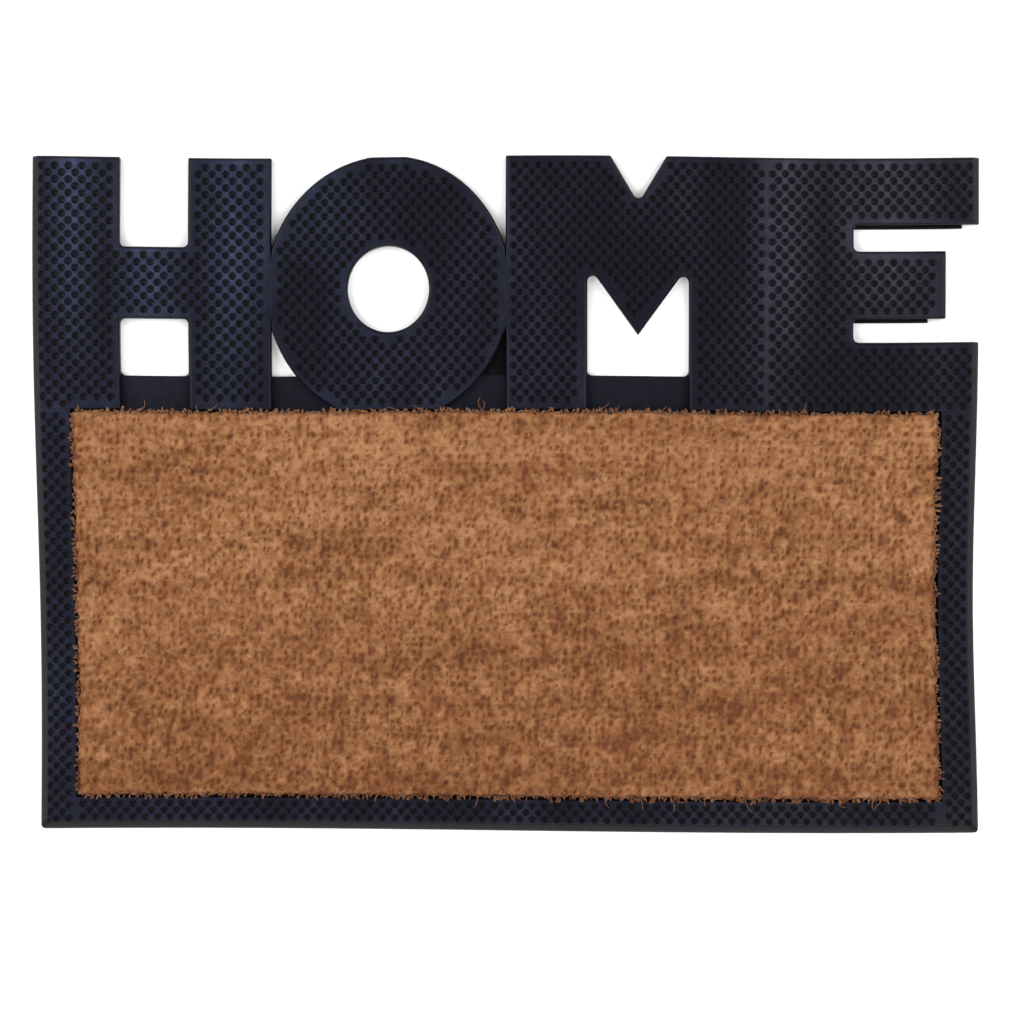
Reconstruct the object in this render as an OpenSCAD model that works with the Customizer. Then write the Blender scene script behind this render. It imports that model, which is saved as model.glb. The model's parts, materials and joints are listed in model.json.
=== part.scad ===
// Door mat: a moulded rubber surround with a header of four cut-out block
// letters, and a coir panel bonded into its tray. Millimetres. The origin is on
// the floor at the middle of the mat, +X runs along the header and +Y points
// from the coir panel to the header.

/* [Overall] */
// Width of the mat, left to right
mat_w = 700; // [580:10:900]
// Depth of the mat, from the front edge to the tops of the letters
mat_d = 500; // [420:10:700]
// Thickness of the rubber, floor to tread
rubber_t = 9; // [6:0.5:14]
// Thickness of the thin base sheet under the coir panel and between the letters
base_t = 2; // [1:0.25:3]

/* [Edges and borders] */
// Width of the left and right borders beside the coir panel
side_border_w = 27.5; // [22:0.5:50]
// Width of the front border
front_border_w = 24; // [20:0.5:50]
// Width of the bevelled lip along the outer edges
lip_w = 6; // [3:0.5:10]
// Rubber left standing at the very edge of the lip
lip_edge_t = 1.5; // [1:0.25:3]
// How far the base sheet stops short of the outer edges
base_inset = 14; // [11:0.5:18]

/* [Header] */
// Height of the letters, from the coir panel to the back edge
header_d = 188; // [156:1:240]
// Depth of the plain strip that ties the feet of the letters together
web_d = 25.5; // [18:0.5:32]
// Radius of the inner corners of the letters
corner_r = 4; // [2:0.5:6]
// Width of the thin skin that closes the gap between the feet of O and M
skin_w = 24; // [20:1:32]
// Depth of that skin, up from the plain strip
skin_d = 38; // [30:1:45]
// Drawn width of the letter H, before the row is fitted to the mat
h_w = 177; // [150:1:215]
// Drawn width of the space that the letter O fills
o_w = 173; // [145:1:210]
// Drawn width of the letter M
m_w = 193; // [165:1:235]
// Drawn width of the letter E
e_w = 157; // [130:1:190]

/* [Letter H] */
// Width of the left post
h_left_post_w = 65; // [50:0.5:68]
// Width of the right post
h_right_post_w = 61.5; // [50:0.5:68]
// Depth of the notch above the crossbar
h_notch_d = 66.5; // [50:0.5:75]
// Depth of the crossbar
h_bar_d = 53.5; // [40:0.5:60]

/* [Letter O] */
// How far the ring tucks in behind the letters beside it, on each side
o_tuck = 4; // [2:0.5:8]
// How much the back edge trims off the top of the ring
o_top_trim = 1; // [0.5:0.5:4]
// How much the coir panel trims off the foot of the ring
o_foot_trim = 9; // [4:0.5:14]
// Width of the hole
o_hole_w = 60; // [40:1:80]
// Height of the hole
o_hole_d = 64; // [40:1:80]

/* [Letter M] */
// Width of the left leg
m_left_leg_w = 60.5; // [48:0.5:64]
// Width of the right leg
m_right_leg_w = 57.5; // [48:0.5:64]
// Width of the notch at its open end
m_notch_w = 41.5; // [30:0.5:46]
// Depth of the notch
m_notch_d = 35; // [20:0.5:42]
// Height of the point of the window above the plain strip
m_point_h = 30; // [20:0.5:40]
// Height of the shoulders of the window above the plain strip
m_shoulder_h = 82; // [60:0.5:90]

/* [Letter E] */
// Width of the stem
e_stem_w = 64; // [50:0.5:76]
// Depth of the top arm
e_top_arm_d = 49.5; // [40:0.5:54]
// Depth of the upper slot
e_upper_slot_d = 19.5; // [12:0.5:24]
// Depth of the middle arm
e_mid_arm_d = 50; // [40:0.5:54]
// Depth of the lower slot
e_lower_slot_d = 17.5; // [12:0.5:22]
// How much shorter the middle arm is than the others
e_mid_arm_cut = 25; // [0:0.5:40]
// Width of the thin flash left along the underside of the upper two arms
e_flash_w = 2.5; // [1:0.5:3]
// How far the flash stops short of the end of its arm
e_flash_short = 13; // [7:0.5:30]

/* [Coir panel] */
// Gap between the coir panel and the walls of the tray
coir_gap = 0.5; // [0.25:0.25:1.5]
// Thickness of the adhesive film under the backing
film_t = 0.5; // [0.25:0.25:1]
// Thickness of the backing sheet that holds the fibres
backing_t = 2; // [1:0.25:4]
// Height of the clipped pile above its backing
pile_h = 10.5; // [6:0.5:18]
// Radius of the pile's corners in plan
pile_corner_r = 5; // [2:0.5:10]
// Height of the worn shoulder round the top of the pile
pile_shoulder_h = 2; // [0.5:0.5:3]

/* [Hidden] */
$fn = 48;
// A cutter reaches this far past the face that it cuts
past = 5;

rubber_colour = "#24252d";
base_colour = "#1b1c22";
film_colour = "#c9c2a6";
backing_colour = "#3a2c22";
coir_colour = "#a5713f";

// Edges of the mat, and the line where the header meets the coir panel
left_x = -mat_w / 2;
right_x = mat_w / 2;
front_y = -mat_d / 2;
back_y = mat_d / 2;
coir_line_y = back_y - header_d;
web_y = coir_line_y + web_d;
// Cuts between the feet of a letter start this low, clear of the coir panel's edge
feet_cut_y = coir_line_y - past - corner_r;

// The row of letters is stretched or squeezed to fill the mat's width
row_fit = mat_w / (h_w + o_w + m_w + e_w);
h_x = left_x;
o_x = h_x + h_w * row_fit;
m_x = o_x + o_w * row_fit;
e_x = m_x + m_w * row_fit;

// Letter H: the crossbar hangs below the notch, and the window takes the rest
h_open_x = h_x + h_left_post_w;
h_open_w = o_x - h_right_post_w - h_open_x;
h_bar_top_y = back_y - h_notch_d;
h_bar_foot_y = h_bar_top_y - h_bar_d;

// Letter O: a ring trimmed at its top, at its foot and by both neighbours
o_mid_x = (o_x + m_x) / 2;
o_mid_y = (back_y + o_top_trim + coir_line_y - o_foot_trim) / 2;
o_ring_w = m_x - o_x + 2 * o_tuck;
o_ring_d = header_d + o_top_trim + o_foot_trim;

// Letter M
m_open_x = m_x + m_left_leg_w;
m_open_w = e_x - m_right_leg_w - m_open_x;
m_mid_x = m_open_x + m_open_w / 2;

// Letter E, from its top arm down to its lower slot
e_open_x = e_x + e_stem_w;
e_upper_slot_y = back_y - e_top_arm_d - e_upper_slot_d;
e_lower_slot_y = e_upper_slot_y - e_mid_arm_d - e_lower_slot_d;

// Tray that the coir panel lies in
tray_x = left_x + side_border_w;
tray_w = mat_w - 2 * side_border_w;
tray_y = front_y + front_border_w;
tray_d = coir_line_y - tray_y;
film_z = base_t;
backing_z = film_z + film_t;
pile_z = backing_z + backing_t;

// ---------- Shared shapes ----------

// A flat opening with round corners, to be cut out of a letter
module round_window(x, y, w, d, r = corner_r) {
    translate([x + r, y]) square([w - 2 * r, d]);
    translate([x, y + r]) square([w, d - 2 * r]);
    for (cx = [x + r, x + w - r], cy = [y + r, y + d - r])
        translate([cx, cy]) circle(r);
}

// An ellipse from its full width and height
module oval(w, d) {
    scale([1, d / w]) circle(d = w);
}

// The wedge that a straight bevelled lip loses, along +Y from y = 0,
// with the outer edge of the mat at x = 0 and the rubber at x > 0
module lip_wedge(length) {
    rise = (rubber_t - lip_edge_t) / lip_w;
    rotate([90, 0, 180])
        linear_extrude(length)
            polygon([
                [past, lip_edge_t - rise * past],
                [-lip_w - past, rubber_t + rise * past],
                [past, rubber_t + rise * past]
            ]);
}

// All three bevelled lips of the mat: the left, right and front edges
module lip_cut() {
    side_y = front_y - past;
    side_d = mat_d + 2 * past;
    translate([left_x, side_y, 0]) lip_wedge(side_d);
    mirror([1, 0, 0])
        translate([left_x, side_y, 0]) lip_wedge(side_d);
    translate([right_x + past, front_y, 0])
        rotate([0, 0, 90]) lip_wedge(mat_w + 2 * past);
}

// The two thin fillets of the base sheet in the lower corners of a window
module web_fillets(x, w) {
    difference() {
        translate([x, web_y]) square([w, corner_r]);
        round_window(x, web_y, w, 3 * corner_r);
    }
}

// Space of the base sheet, which every other rubber piece is stepped to fit
module base_space() {
    linear_extrude(base_t) {
        translate([left_x + base_inset, front_y + base_inset])
            square([mat_w - 2 * base_inset, web_y - front_y - base_inset]);
        web_fillets(h_open_x, h_open_w);
        web_fillets(m_open_x, m_open_w);
    }
}

// A tread piece: its outline at full height, less the lips and the base sheet
module tread() {
    color(rubber_colour)
        difference() {
            linear_extrude(rubber_t) children();
            lip_cut();
            base_space();
        }
}

// Thin rubber at floor level that the mould leaves beside a letter
module skin() {
    color(rubber_colour)
        difference() {
            linear_extrude(base_t) children();
            base_space();
        }
}

// A layer of the coir panel, inside the tray walls
module coir_layer(z, h) {
    translate([tray_x + coir_gap, tray_y + coir_gap, z])
        cube([tray_w - 2 * coir_gap, tray_d - 2 * coir_gap, h]);
}

// ---------- Rubber surround ----------

module base_sheet() {
    color(base_colour) base_space();
}

module border_left() {
    tread() translate([left_x, front_y]) square([side_border_w, mat_d - header_d]);
}

module border_right() {
    tread() translate([right_x - side_border_w, front_y])
        square([side_border_w, mat_d - header_d]);
}

module border_front() {
    tread() translate([tray_x, front_y]) square([tray_w, front_border_w]);
}

// ---------- Letters ----------

module letter_h() {
    tread() difference() {
        translate([h_x, coir_line_y]) square([o_x - h_x, header_d]);
        round_window(h_open_x, h_bar_top_y, h_open_w, h_notch_d + past + corner_r);
        // the window runs on down over the strip where only the base sheet is left
        round_window(h_open_x, feet_cut_y, h_open_w, h_bar_foot_y - feet_cut_y);
    }
}

module letter_o() {
    union() {
        tread() difference() {
            intersection() {
                translate([o_mid_x, o_mid_y]) oval(o_ring_w, o_ring_d);
                translate([o_x, coir_line_y]) square([m_x - o_x, header_d]);
            }
            translate([o_mid_x, o_mid_y]) oval(o_hole_w, o_hole_d);
        }
        skin() translate([m_x - skin_w, web_y]) square([skin_w, skin_d]);
    }
}

// The five-sided window of the letter M, and the space between its feet
module m_window() {
    shoulder_y = web_y + m_shoulder_h;
    offset(r = corner_r) offset(delta = -corner_r)
        polygon([
            [m_open_x, feet_cut_y],
            [m_open_x + m_open_w, feet_cut_y],
            [m_open_x + m_open_w, shoulder_y],
            [m_mid_x, web_y + m_point_h],
            [m_open_x, shoulder_y]
        ]);
}

// The V notch in the top of the letter M, with its point rounded
module m_notch() {
    slope = m_notch_w / 2 / m_notch_d;
    offset(r = corner_r) offset(delta = -corner_r)
        polygon([
            [m_mid_x, back_y - m_notch_d],
            [m_mid_x + m_notch_w / 2 + slope * 2 * past, back_y + 2 * past],
            [m_mid_x - m_notch_w / 2 - slope * 2 * past, back_y + 2 * past]
        ]);
}

module letter_m() {
    tread() difference() {
        translate([m_x, coir_line_y]) square([e_x - m_x, header_d]);
        m_notch();
        m_window();
    }
}

// The flash under one arm of the letter E: the arm's lower edge and its end
module e_flash(edge_y, end_x) {
    // it starts inside the stem and runs on under the arm
    from_x = e_open_x - corner_r;
    translate([from_x, edge_y - e_flash_w])
        square([end_x - e_flash_short - from_x, 2 * e_flash_w]);
}

module letter_e() {
    slot_w = right_x - e_open_x + past + corner_r;
    union() {
        tread() difference() {
            translate([e_x, coir_line_y]) square([right_x - e_x, header_d]);
            round_window(e_open_x, e_upper_slot_y, slot_w, e_upper_slot_d);
            round_window(e_open_x, e_lower_slot_y, slot_w, e_lower_slot_d);
            translate([right_x - e_mid_arm_cut, e_lower_slot_y])
                square([e_mid_arm_cut + past,
                    e_upper_slot_y + e_upper_slot_d - e_lower_slot_y]);
        }
        skin() {
            e_flash(e_upper_slot_y + e_upper_slot_d, right_x);
            e_flash(e_lower_slot_y + e_lower_slot_d, right_x - e_mid_arm_cut);
        }
    }
}

// ---------- Coir panel ----------

module adhesive_film() {
    color(film_colour) coir_layer(film_z, film_t);
}

module coir_backing() {
    color(backing_colour) coir_layer(backing_z, backing_t);
}

// The clipped fibres as one block: straight sides, then a worn shoulder
module coir_pile() {
    x = tray_x + coir_gap;
    y = tray_y + coir_gap;
    w = tray_w - 2 * coir_gap;
    d = tray_d - 2 * coir_gap;
    color(coir_colour) {
        translate([0, 0, pile_z])
            linear_extrude(pile_h - pile_shoulder_h)
                round_window(x, y, w, d, pile_corner_r);
        translate([0, 0, pile_z + pile_h - pile_shoulder_h])
            linear_extrude(pile_shoulder_h)
                round_window(x + pile_shoulder_h, y + pile_shoulder_h,
                    w - 2 * pile_shoulder_h, d - 2 * pile_shoulder_h, pile_corner_r);
    }
}

base_sheet();
border_left();
border_right();
border_front();
letter_h();
letter_o();
letter_m();
letter_e();
adhesive_film();
coir_backing();
coir_pile();
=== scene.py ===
"""Looks of a door mat: a dimpled rubber surround with four cut-out letters, and a panel of clipped coir.

Every length is in metres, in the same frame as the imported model: the floor is at z = 0, +X runs along the
letters and +Y points from the coir panel to the letters.
"""

import json
import logging
import math
from dataclasses import dataclass, field
from enum import Enum

import bmesh
import bpy
import numpy as np
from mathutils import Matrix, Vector
from mathutils.bvhtree import BVHTree

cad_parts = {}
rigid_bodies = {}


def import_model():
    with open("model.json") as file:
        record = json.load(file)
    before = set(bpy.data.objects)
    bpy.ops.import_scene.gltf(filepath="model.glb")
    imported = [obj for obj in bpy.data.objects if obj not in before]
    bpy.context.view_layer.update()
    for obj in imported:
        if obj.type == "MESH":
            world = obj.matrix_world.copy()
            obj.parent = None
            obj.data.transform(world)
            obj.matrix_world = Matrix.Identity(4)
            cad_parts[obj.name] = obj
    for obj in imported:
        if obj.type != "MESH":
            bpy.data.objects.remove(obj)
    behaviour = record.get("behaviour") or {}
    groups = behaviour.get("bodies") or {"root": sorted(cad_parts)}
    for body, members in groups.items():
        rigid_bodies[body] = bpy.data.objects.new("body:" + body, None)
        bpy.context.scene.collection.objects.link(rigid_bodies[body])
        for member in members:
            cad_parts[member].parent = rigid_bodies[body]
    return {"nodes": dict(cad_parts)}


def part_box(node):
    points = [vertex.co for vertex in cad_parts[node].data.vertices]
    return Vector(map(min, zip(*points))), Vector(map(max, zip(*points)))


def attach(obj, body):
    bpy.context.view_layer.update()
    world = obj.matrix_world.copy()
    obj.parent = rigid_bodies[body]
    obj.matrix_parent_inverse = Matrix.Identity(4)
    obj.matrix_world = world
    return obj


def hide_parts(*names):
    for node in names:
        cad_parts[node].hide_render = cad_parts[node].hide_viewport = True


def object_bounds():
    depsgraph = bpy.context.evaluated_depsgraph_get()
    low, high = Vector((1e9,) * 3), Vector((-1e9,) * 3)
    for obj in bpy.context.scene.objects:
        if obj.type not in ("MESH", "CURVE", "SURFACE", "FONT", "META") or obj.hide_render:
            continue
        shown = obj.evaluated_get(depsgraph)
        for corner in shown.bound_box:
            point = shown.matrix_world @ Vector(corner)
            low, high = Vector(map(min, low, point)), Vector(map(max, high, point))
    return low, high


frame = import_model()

MM = 0.001
BODY = "root"
# points nearer than this are one point
MERGE_GAP = 2e-6
# the texture map, and the corners of the square that each strand has on it, as shares of the square
MAP_LAYER = "OFBake"
SQUARE = ((0.2, 0.2), (0.8, 0.2), (0.8, 0.8), (0.2, 0.8))
# the two values that the coir carries from place to place
TONE = "strand_tone"
REDNESS = "strand_red"
LOG = logging.getLogger("door_mat")

MAT_LOW, MAT_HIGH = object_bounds()
COIR_LOW, COIR_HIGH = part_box("coir_pile")
BACKING_LOW, BACKING_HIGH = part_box("coir_backing")
SHEET_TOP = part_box("base_sheet")[1].z
TREAD_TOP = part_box("letter_h")[1].z


# ---------- Small tools ----------


class Graph:
    """A node tree under construction, for a material or for Geometry Nodes."""

    def __init__(self, tree: bpy.types.NodeTree) -> None:
        """Starts from an empty tree.

        Args:
            tree: the tree that the nodes go into.
        """
        self.tree = tree
        tree.nodes.clear()

    def add(self, kind: str, inputs: dict | None = None, **settings: object) -> bpy.types.Node:
        """Adds one node, sets it up and fills its inputs.

        Args:
            kind: the node's type name.
            inputs: a plain value or another node's output for each input, by name or number.
            settings: the node's own settings.

        Returns:
            The new node.
        """
        node = self.tree.nodes.new(kind)
        for key, value in settings.items():
            setattr(node, key, value)
        for key, value in (inputs or {}).items():
            if isinstance(value, bpy.types.NodeSocket):
                self.tree.links.new(value, node.inputs[key])
            else:
                node.inputs[key].default_value = value
        return node

    def math(self, operation: str, a: object, b: object = 0.0) -> bpy.types.NodeSocket:
        """Adds a Math node.

        Args:
            operation: what it does, such as "MULTIPLY".
            a: first number or output.
            b: second number or output.

        Returns:
            The result.
        """
        return self.add("ShaderNodeMath", {0: a, 1: b}, operation=operation).outputs[0]

    def vector_math(self, operation: str, a: object, b: object) -> bpy.types.NodeSocket:
        """Adds a Vector Math node.

        Args:
            operation: what it does, such as "ADD".
            a: first vector or output.
            b: second vector or output.

        Returns:
            The resulting vector.
        """
        return self.add("ShaderNodeVectorMath", {0: a, 1: b}, operation=operation).outputs[0]

    def fade(self, value: object, low: float, high: float, at_low: float = 0.0,
             at_high: float = 1.0) -> bpy.types.NodeSocket:
        """Adds a Map Range node that fades between two numbers.

        Args:
            value: the output that is read.
            low: reading where the fade starts.
            high: reading where it ends.
            at_low: result at low and below.
            at_high: result at high and above.

        Returns:
            The faded number.
        """
        inputs = {"Value": value, "From Min": low, "From Max": high, "To Min": at_low, "To Max": at_high}
        return self.add("ShaderNodeMapRange", inputs).outputs["Result"]

    def mix(self, factor: object, first: object, second: object) -> bpy.types.NodeSocket:
        """Adds a Mix node that blends two colours.

        Args:
            factor: how much of the second colour shows, from 0 to 1.
            first: the colour at 0.
            second: the colour at 1.

        Returns:
            The blended colour.
        """
        node = self.add("ShaderNodeMix", {"Factor": factor, 6: first, 7: second}, data_type="RGBA")
        return node.outputs[2]

    def noise(self, place: object, scale: float, detail: float,
              roughness: float = 0.5) -> bpy.types.NodeSocket:
        """Adds a Noise Texture node.

        Args:
            place: the coordinates that it is laid on.
            scale: how many of its coarsest hills stand along a metre.
            detail: how many finer layers it has.
            roughness: how strong the finer layers are.

        Returns:
            The noise, about 0.5 on average.
        """
        inputs = {"Vector": place, "Scale": scale, "Detail": detail, "Roughness": roughness}
        return self.add("ShaderNodeTexNoise", inputs).outputs["Fac"]

    def stretch(self, place: object, scale: tuple[float, float, float]) -> bpy.types.NodeSocket:
        """Adds a Mapping node, which draws a pattern out along each axis whose scale is under 1."""
        return self.add("ShaderNodeMapping", {"Vector": place, "Scale": scale}).outputs["Vector"]

    def bump(self, height: object, strength: float, distance: float) -> bpy.types.NodeSocket:
        """Adds a Bump node.

        Args:
            height: the output that gives the relief.
            strength: how strong it is.
            distance: how high it stands.

        Returns:
            The bent normal.
        """
        inputs = {"Strength": strength, "Distance": distance, "Height": height}
        return self.add("ShaderNodeBump", inputs).outputs["Normal"]

    def shade(self, inputs: dict) -> None:
        """Ends a material with its shader.

        Args:
            inputs: a plain value or another node's output for each of the shader's inputs.
        """
        shader = self.add("ShaderNodeBsdfPrincipled", inputs)
        self.add("ShaderNodeOutputMaterial", {"Surface": shader.outputs["BSDF"]})

    def random(self, low: object, high: object, seed: object) -> bpy.types.NodeSocket:
        """Adds a Random Value node.

        Args:
            low: lowest number.
            high: highest number.
            seed: picks one series of numbers.

        Returns:
            A number for each point.
        """
        return self.add("FunctionNodeRandomValue", {2: low, 3: high, "Seed": seed},
                        data_type="FLOAT").outputs[1]

    def rim(self, plate: object) -> bpy.types.NodeSocket:
        """Picks the outer edges of a flat plate, which only one face uses."""
        faces = self.add("GeometryNodeInputMeshEdgeNeighbors").outputs[0]
        outer = self.math("LESS_THAN", faces, 1.5)
        return self.add("GeometryNodeSeparateGeometry", {"Geometry": plate, "Selection": outer},
                        domain="EDGE").outputs[0]

    def end_geometry(self, instances: object, material: object) -> None:
        """Ends a Geometry Nodes tree by making its instances real.

        Args:
            instances: the geometry that the tree has made.
            material: the finish that it gets.
        """
        solid = self.add("GeometryNodeRealizeInstances", {"Geometry": instances}).outputs[0]
        painted = self.add("GeometryNodeSetMaterial", {"Geometry": solid, "Material": material})
        self.add("NodeGroupOutput", {"Geometry": painted.outputs[0]})


def linear(red: int, green: int, blue: int) -> tuple[float, float, float, float]:
    """Turns a colour as a paint chart gives it, 0 to 255, into the renderer's linear colour.

    Args:
        red: red.
        green: green.
        blue: blue.

    Returns:
        Linear red, green and blue, and an alpha of 1.
    """
    def one(level: int) -> float:
        """Linear value of one level."""
        share = level / 255
        return share / 12.92 if share <= 0.04045 else ((share + 0.055) / 1.055) ** 2.4
    return one(red), one(green), one(blue), 1.0


def coordinates(mesh: bpy.types.Mesh) -> np.ndarray:
    """The mesh's vertices as an array of three columns."""
    found = np.empty(len(mesh.vertices) * 3, np.float32)
    mesh.vertices.foreach_get("co", found)
    return found.reshape(-1, 3).astype(float)


def put_coordinates(mesh: bpy.types.Mesh, points: np.ndarray) -> None:
    """Moves the mesh's vertices to an array of places."""
    mesh.vertices.foreach_set("co", points.astype(np.float32).ravel())
    mesh.update()


def new_piece(name: str, mesh: bpy.types.Mesh) -> bpy.types.Object:
    """Puts a mesh in the scene.

    Args:
        name: the piece's name.
        mesh: its mesh, with its place in its vertices.

    Returns:
        The new object, at the origin.
    """
    mesh.name = name
    piece = bpy.data.objects.new(name, mesh)
    bpy.context.scene.collection.objects.link(piece)
    return piece


def settle_modifiers(piece: bpy.types.Object) -> None:
    """Turns a piece and its modifiers into one plain mesh.

    Args:
        piece: the object whose modifiers are applied and removed.
    """
    depsgraph = bpy.context.evaluated_depsgraph_get()
    plain = bpy.data.meshes.new_from_object(piece.evaluated_get(depsgraph), depsgraph=depsgraph)
    piece.modifiers.clear()
    old = piece.data
    piece.data = plain
    bpy.data.meshes.remove(old)
    plain.name = piece.name


def set_inputs(modifier: bpy.types.Modifier, values: dict[str, object]) -> None:
    """Sets a Geometry Nodes modifier's named inputs by their identifiers.

    Args:
        modifier: the modifier, with its tree already chosen.
        values: each input's name and value.
    """
    for item in modifier.node_group.interface.items_tree:
        if item.item_type == "SOCKET" and item.in_out == "INPUT" and item.name in values:
            modifier[item.identifier] = values[item.name]


def new_node_group(name: str, sockets: dict[str, str]) -> bpy.types.NodeTree:
    """Makes an empty Geometry Nodes tree with named inputs and one geometry output.

    Args:
        name: the tree's name.
        sockets: each input's name and socket type, after the geometry that comes in.

    Returns:
        The tree.
    """
    tree = bpy.data.node_groups.new(name, "GeometryNodeTree")
    tree.interface.new_socket("Geometry", in_out="INPUT", socket_type="NodeSocketGeometry")
    for label, kind in sockets.items():
        tree.interface.new_socket(label, in_out="INPUT", socket_type=kind)
    tree.interface.new_socket("Geometry", in_out="OUTPUT", socket_type="NodeSocketGeometry")
    return tree


def give_flat_map(mesh: bpy.types.Mesh, edge: float = 0.02, wall_lean: float = 0.15) -> None:
    """Lays a texture map over a flat piece: faces that look up on the left half, the rest on the right.

    Args:
        mesh: the piece's final mesh.
        edge: width of the free strip round the map, as a share of it.
        wall_lean: how far the walls spread on the map, for each unit of their height.
    """
    points = coordinates(mesh)
    low = points.min(0)
    span = max(points[:, :2].max(0) - low[:2])
    corner_vertex = np.empty(len(mesh.loops), np.int32)
    mesh.loops.foreach_get("vertex_index", corner_vertex)
    sizes = np.empty(len(mesh.polygons), np.int32)
    mesh.polygons.foreach_get("loop_total", sizes)
    normals = np.empty(len(mesh.polygons) * 3, np.float32)
    mesh.polygons.foreach_get("normal", normals)
    looks_up = np.repeat(normals.reshape(-1, 3)[:, 2] > -0.5, sizes)
    places = (points[corner_vertex][:, :2] - low[:2]) / span
    # the height leans the walls inwards a little on the map, so that they have a width there
    lean = wall_lean * (points[corner_vertex][:, 2] - low[2]) / span
    places = places * (1 - 2 * edge) + edge + lean[:, None] * np.where(places > 0.5, -1, 1)
    places[:, 0] = places[:, 0] * 0.5 + np.where(looks_up, 0.0, 0.5)
    layer = mesh.uv_layers.new(name=MAP_LAYER)
    layer.data.foreach_set("uv", places.astype(np.float32).ravel())


# ---------- How the rubber lies ----------


@dataclass(frozen=True)
class Wander:
    """How far the mat lies from its true outline, as rubber does once it has been rolled up."""

    left_shift: float = 1.6 * MM
    left_lean: float = 3.2 * MM
    left_wave: float = 1.6 * MM
    right_shift: float = 1.4 * MM
    right_waist: float = 4.5 * MM
    front_wave: float = 2.0 * MM
    back_wave: float = 1.2 * MM

    def moved(self, points: np.ndarray) -> np.ndarray:
        """Moves points of the true mat to where they lie.

        Args:
            points: places as rows of x, y and z.

        Returns:
            The moved places, with their heights unchanged.
        """
        across = points[:, 0] / MAT_HIGH.x
        along = points[:, 1] / MAT_HIGH.y
        left = self.left_shift - self.left_lean * along - self.left_wave * np.sin(math.pi * along)
        right = self.right_shift - self.right_waist * np.exp(-(((along + 0.3) / 0.5) ** 2))
        front = -self.front_wave * np.sin(2.2 * across)
        back = self.back_wave * np.sin(5 * across + 1)
        result = points.copy()
        result[:, 0] += (left * (1 - across) + right * (1 + across)) / 2
        result[:, 1] += (front * (1 - along) + back * (1 + along)) / 2
        return result

    def apply(self, mesh: bpy.types.Mesh) -> None:
        """Moves every vertex of a mesh to where it lies."""
        put_coordinates(mesh, self.moved(coordinates(mesh)))


WANDER = Wander()


# ---------- Finishes ----------


def new_material(name: str) -> tuple[bpy.types.Material, Graph]:
    """Makes an empty material.

    Args:
        name: the material's name.

    Returns:
        The material, and its node tree under construction.
    """
    material = bpy.data.materials.new(name)
    material.use_nodes = True
    return material, Graph(material.node_tree)


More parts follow.
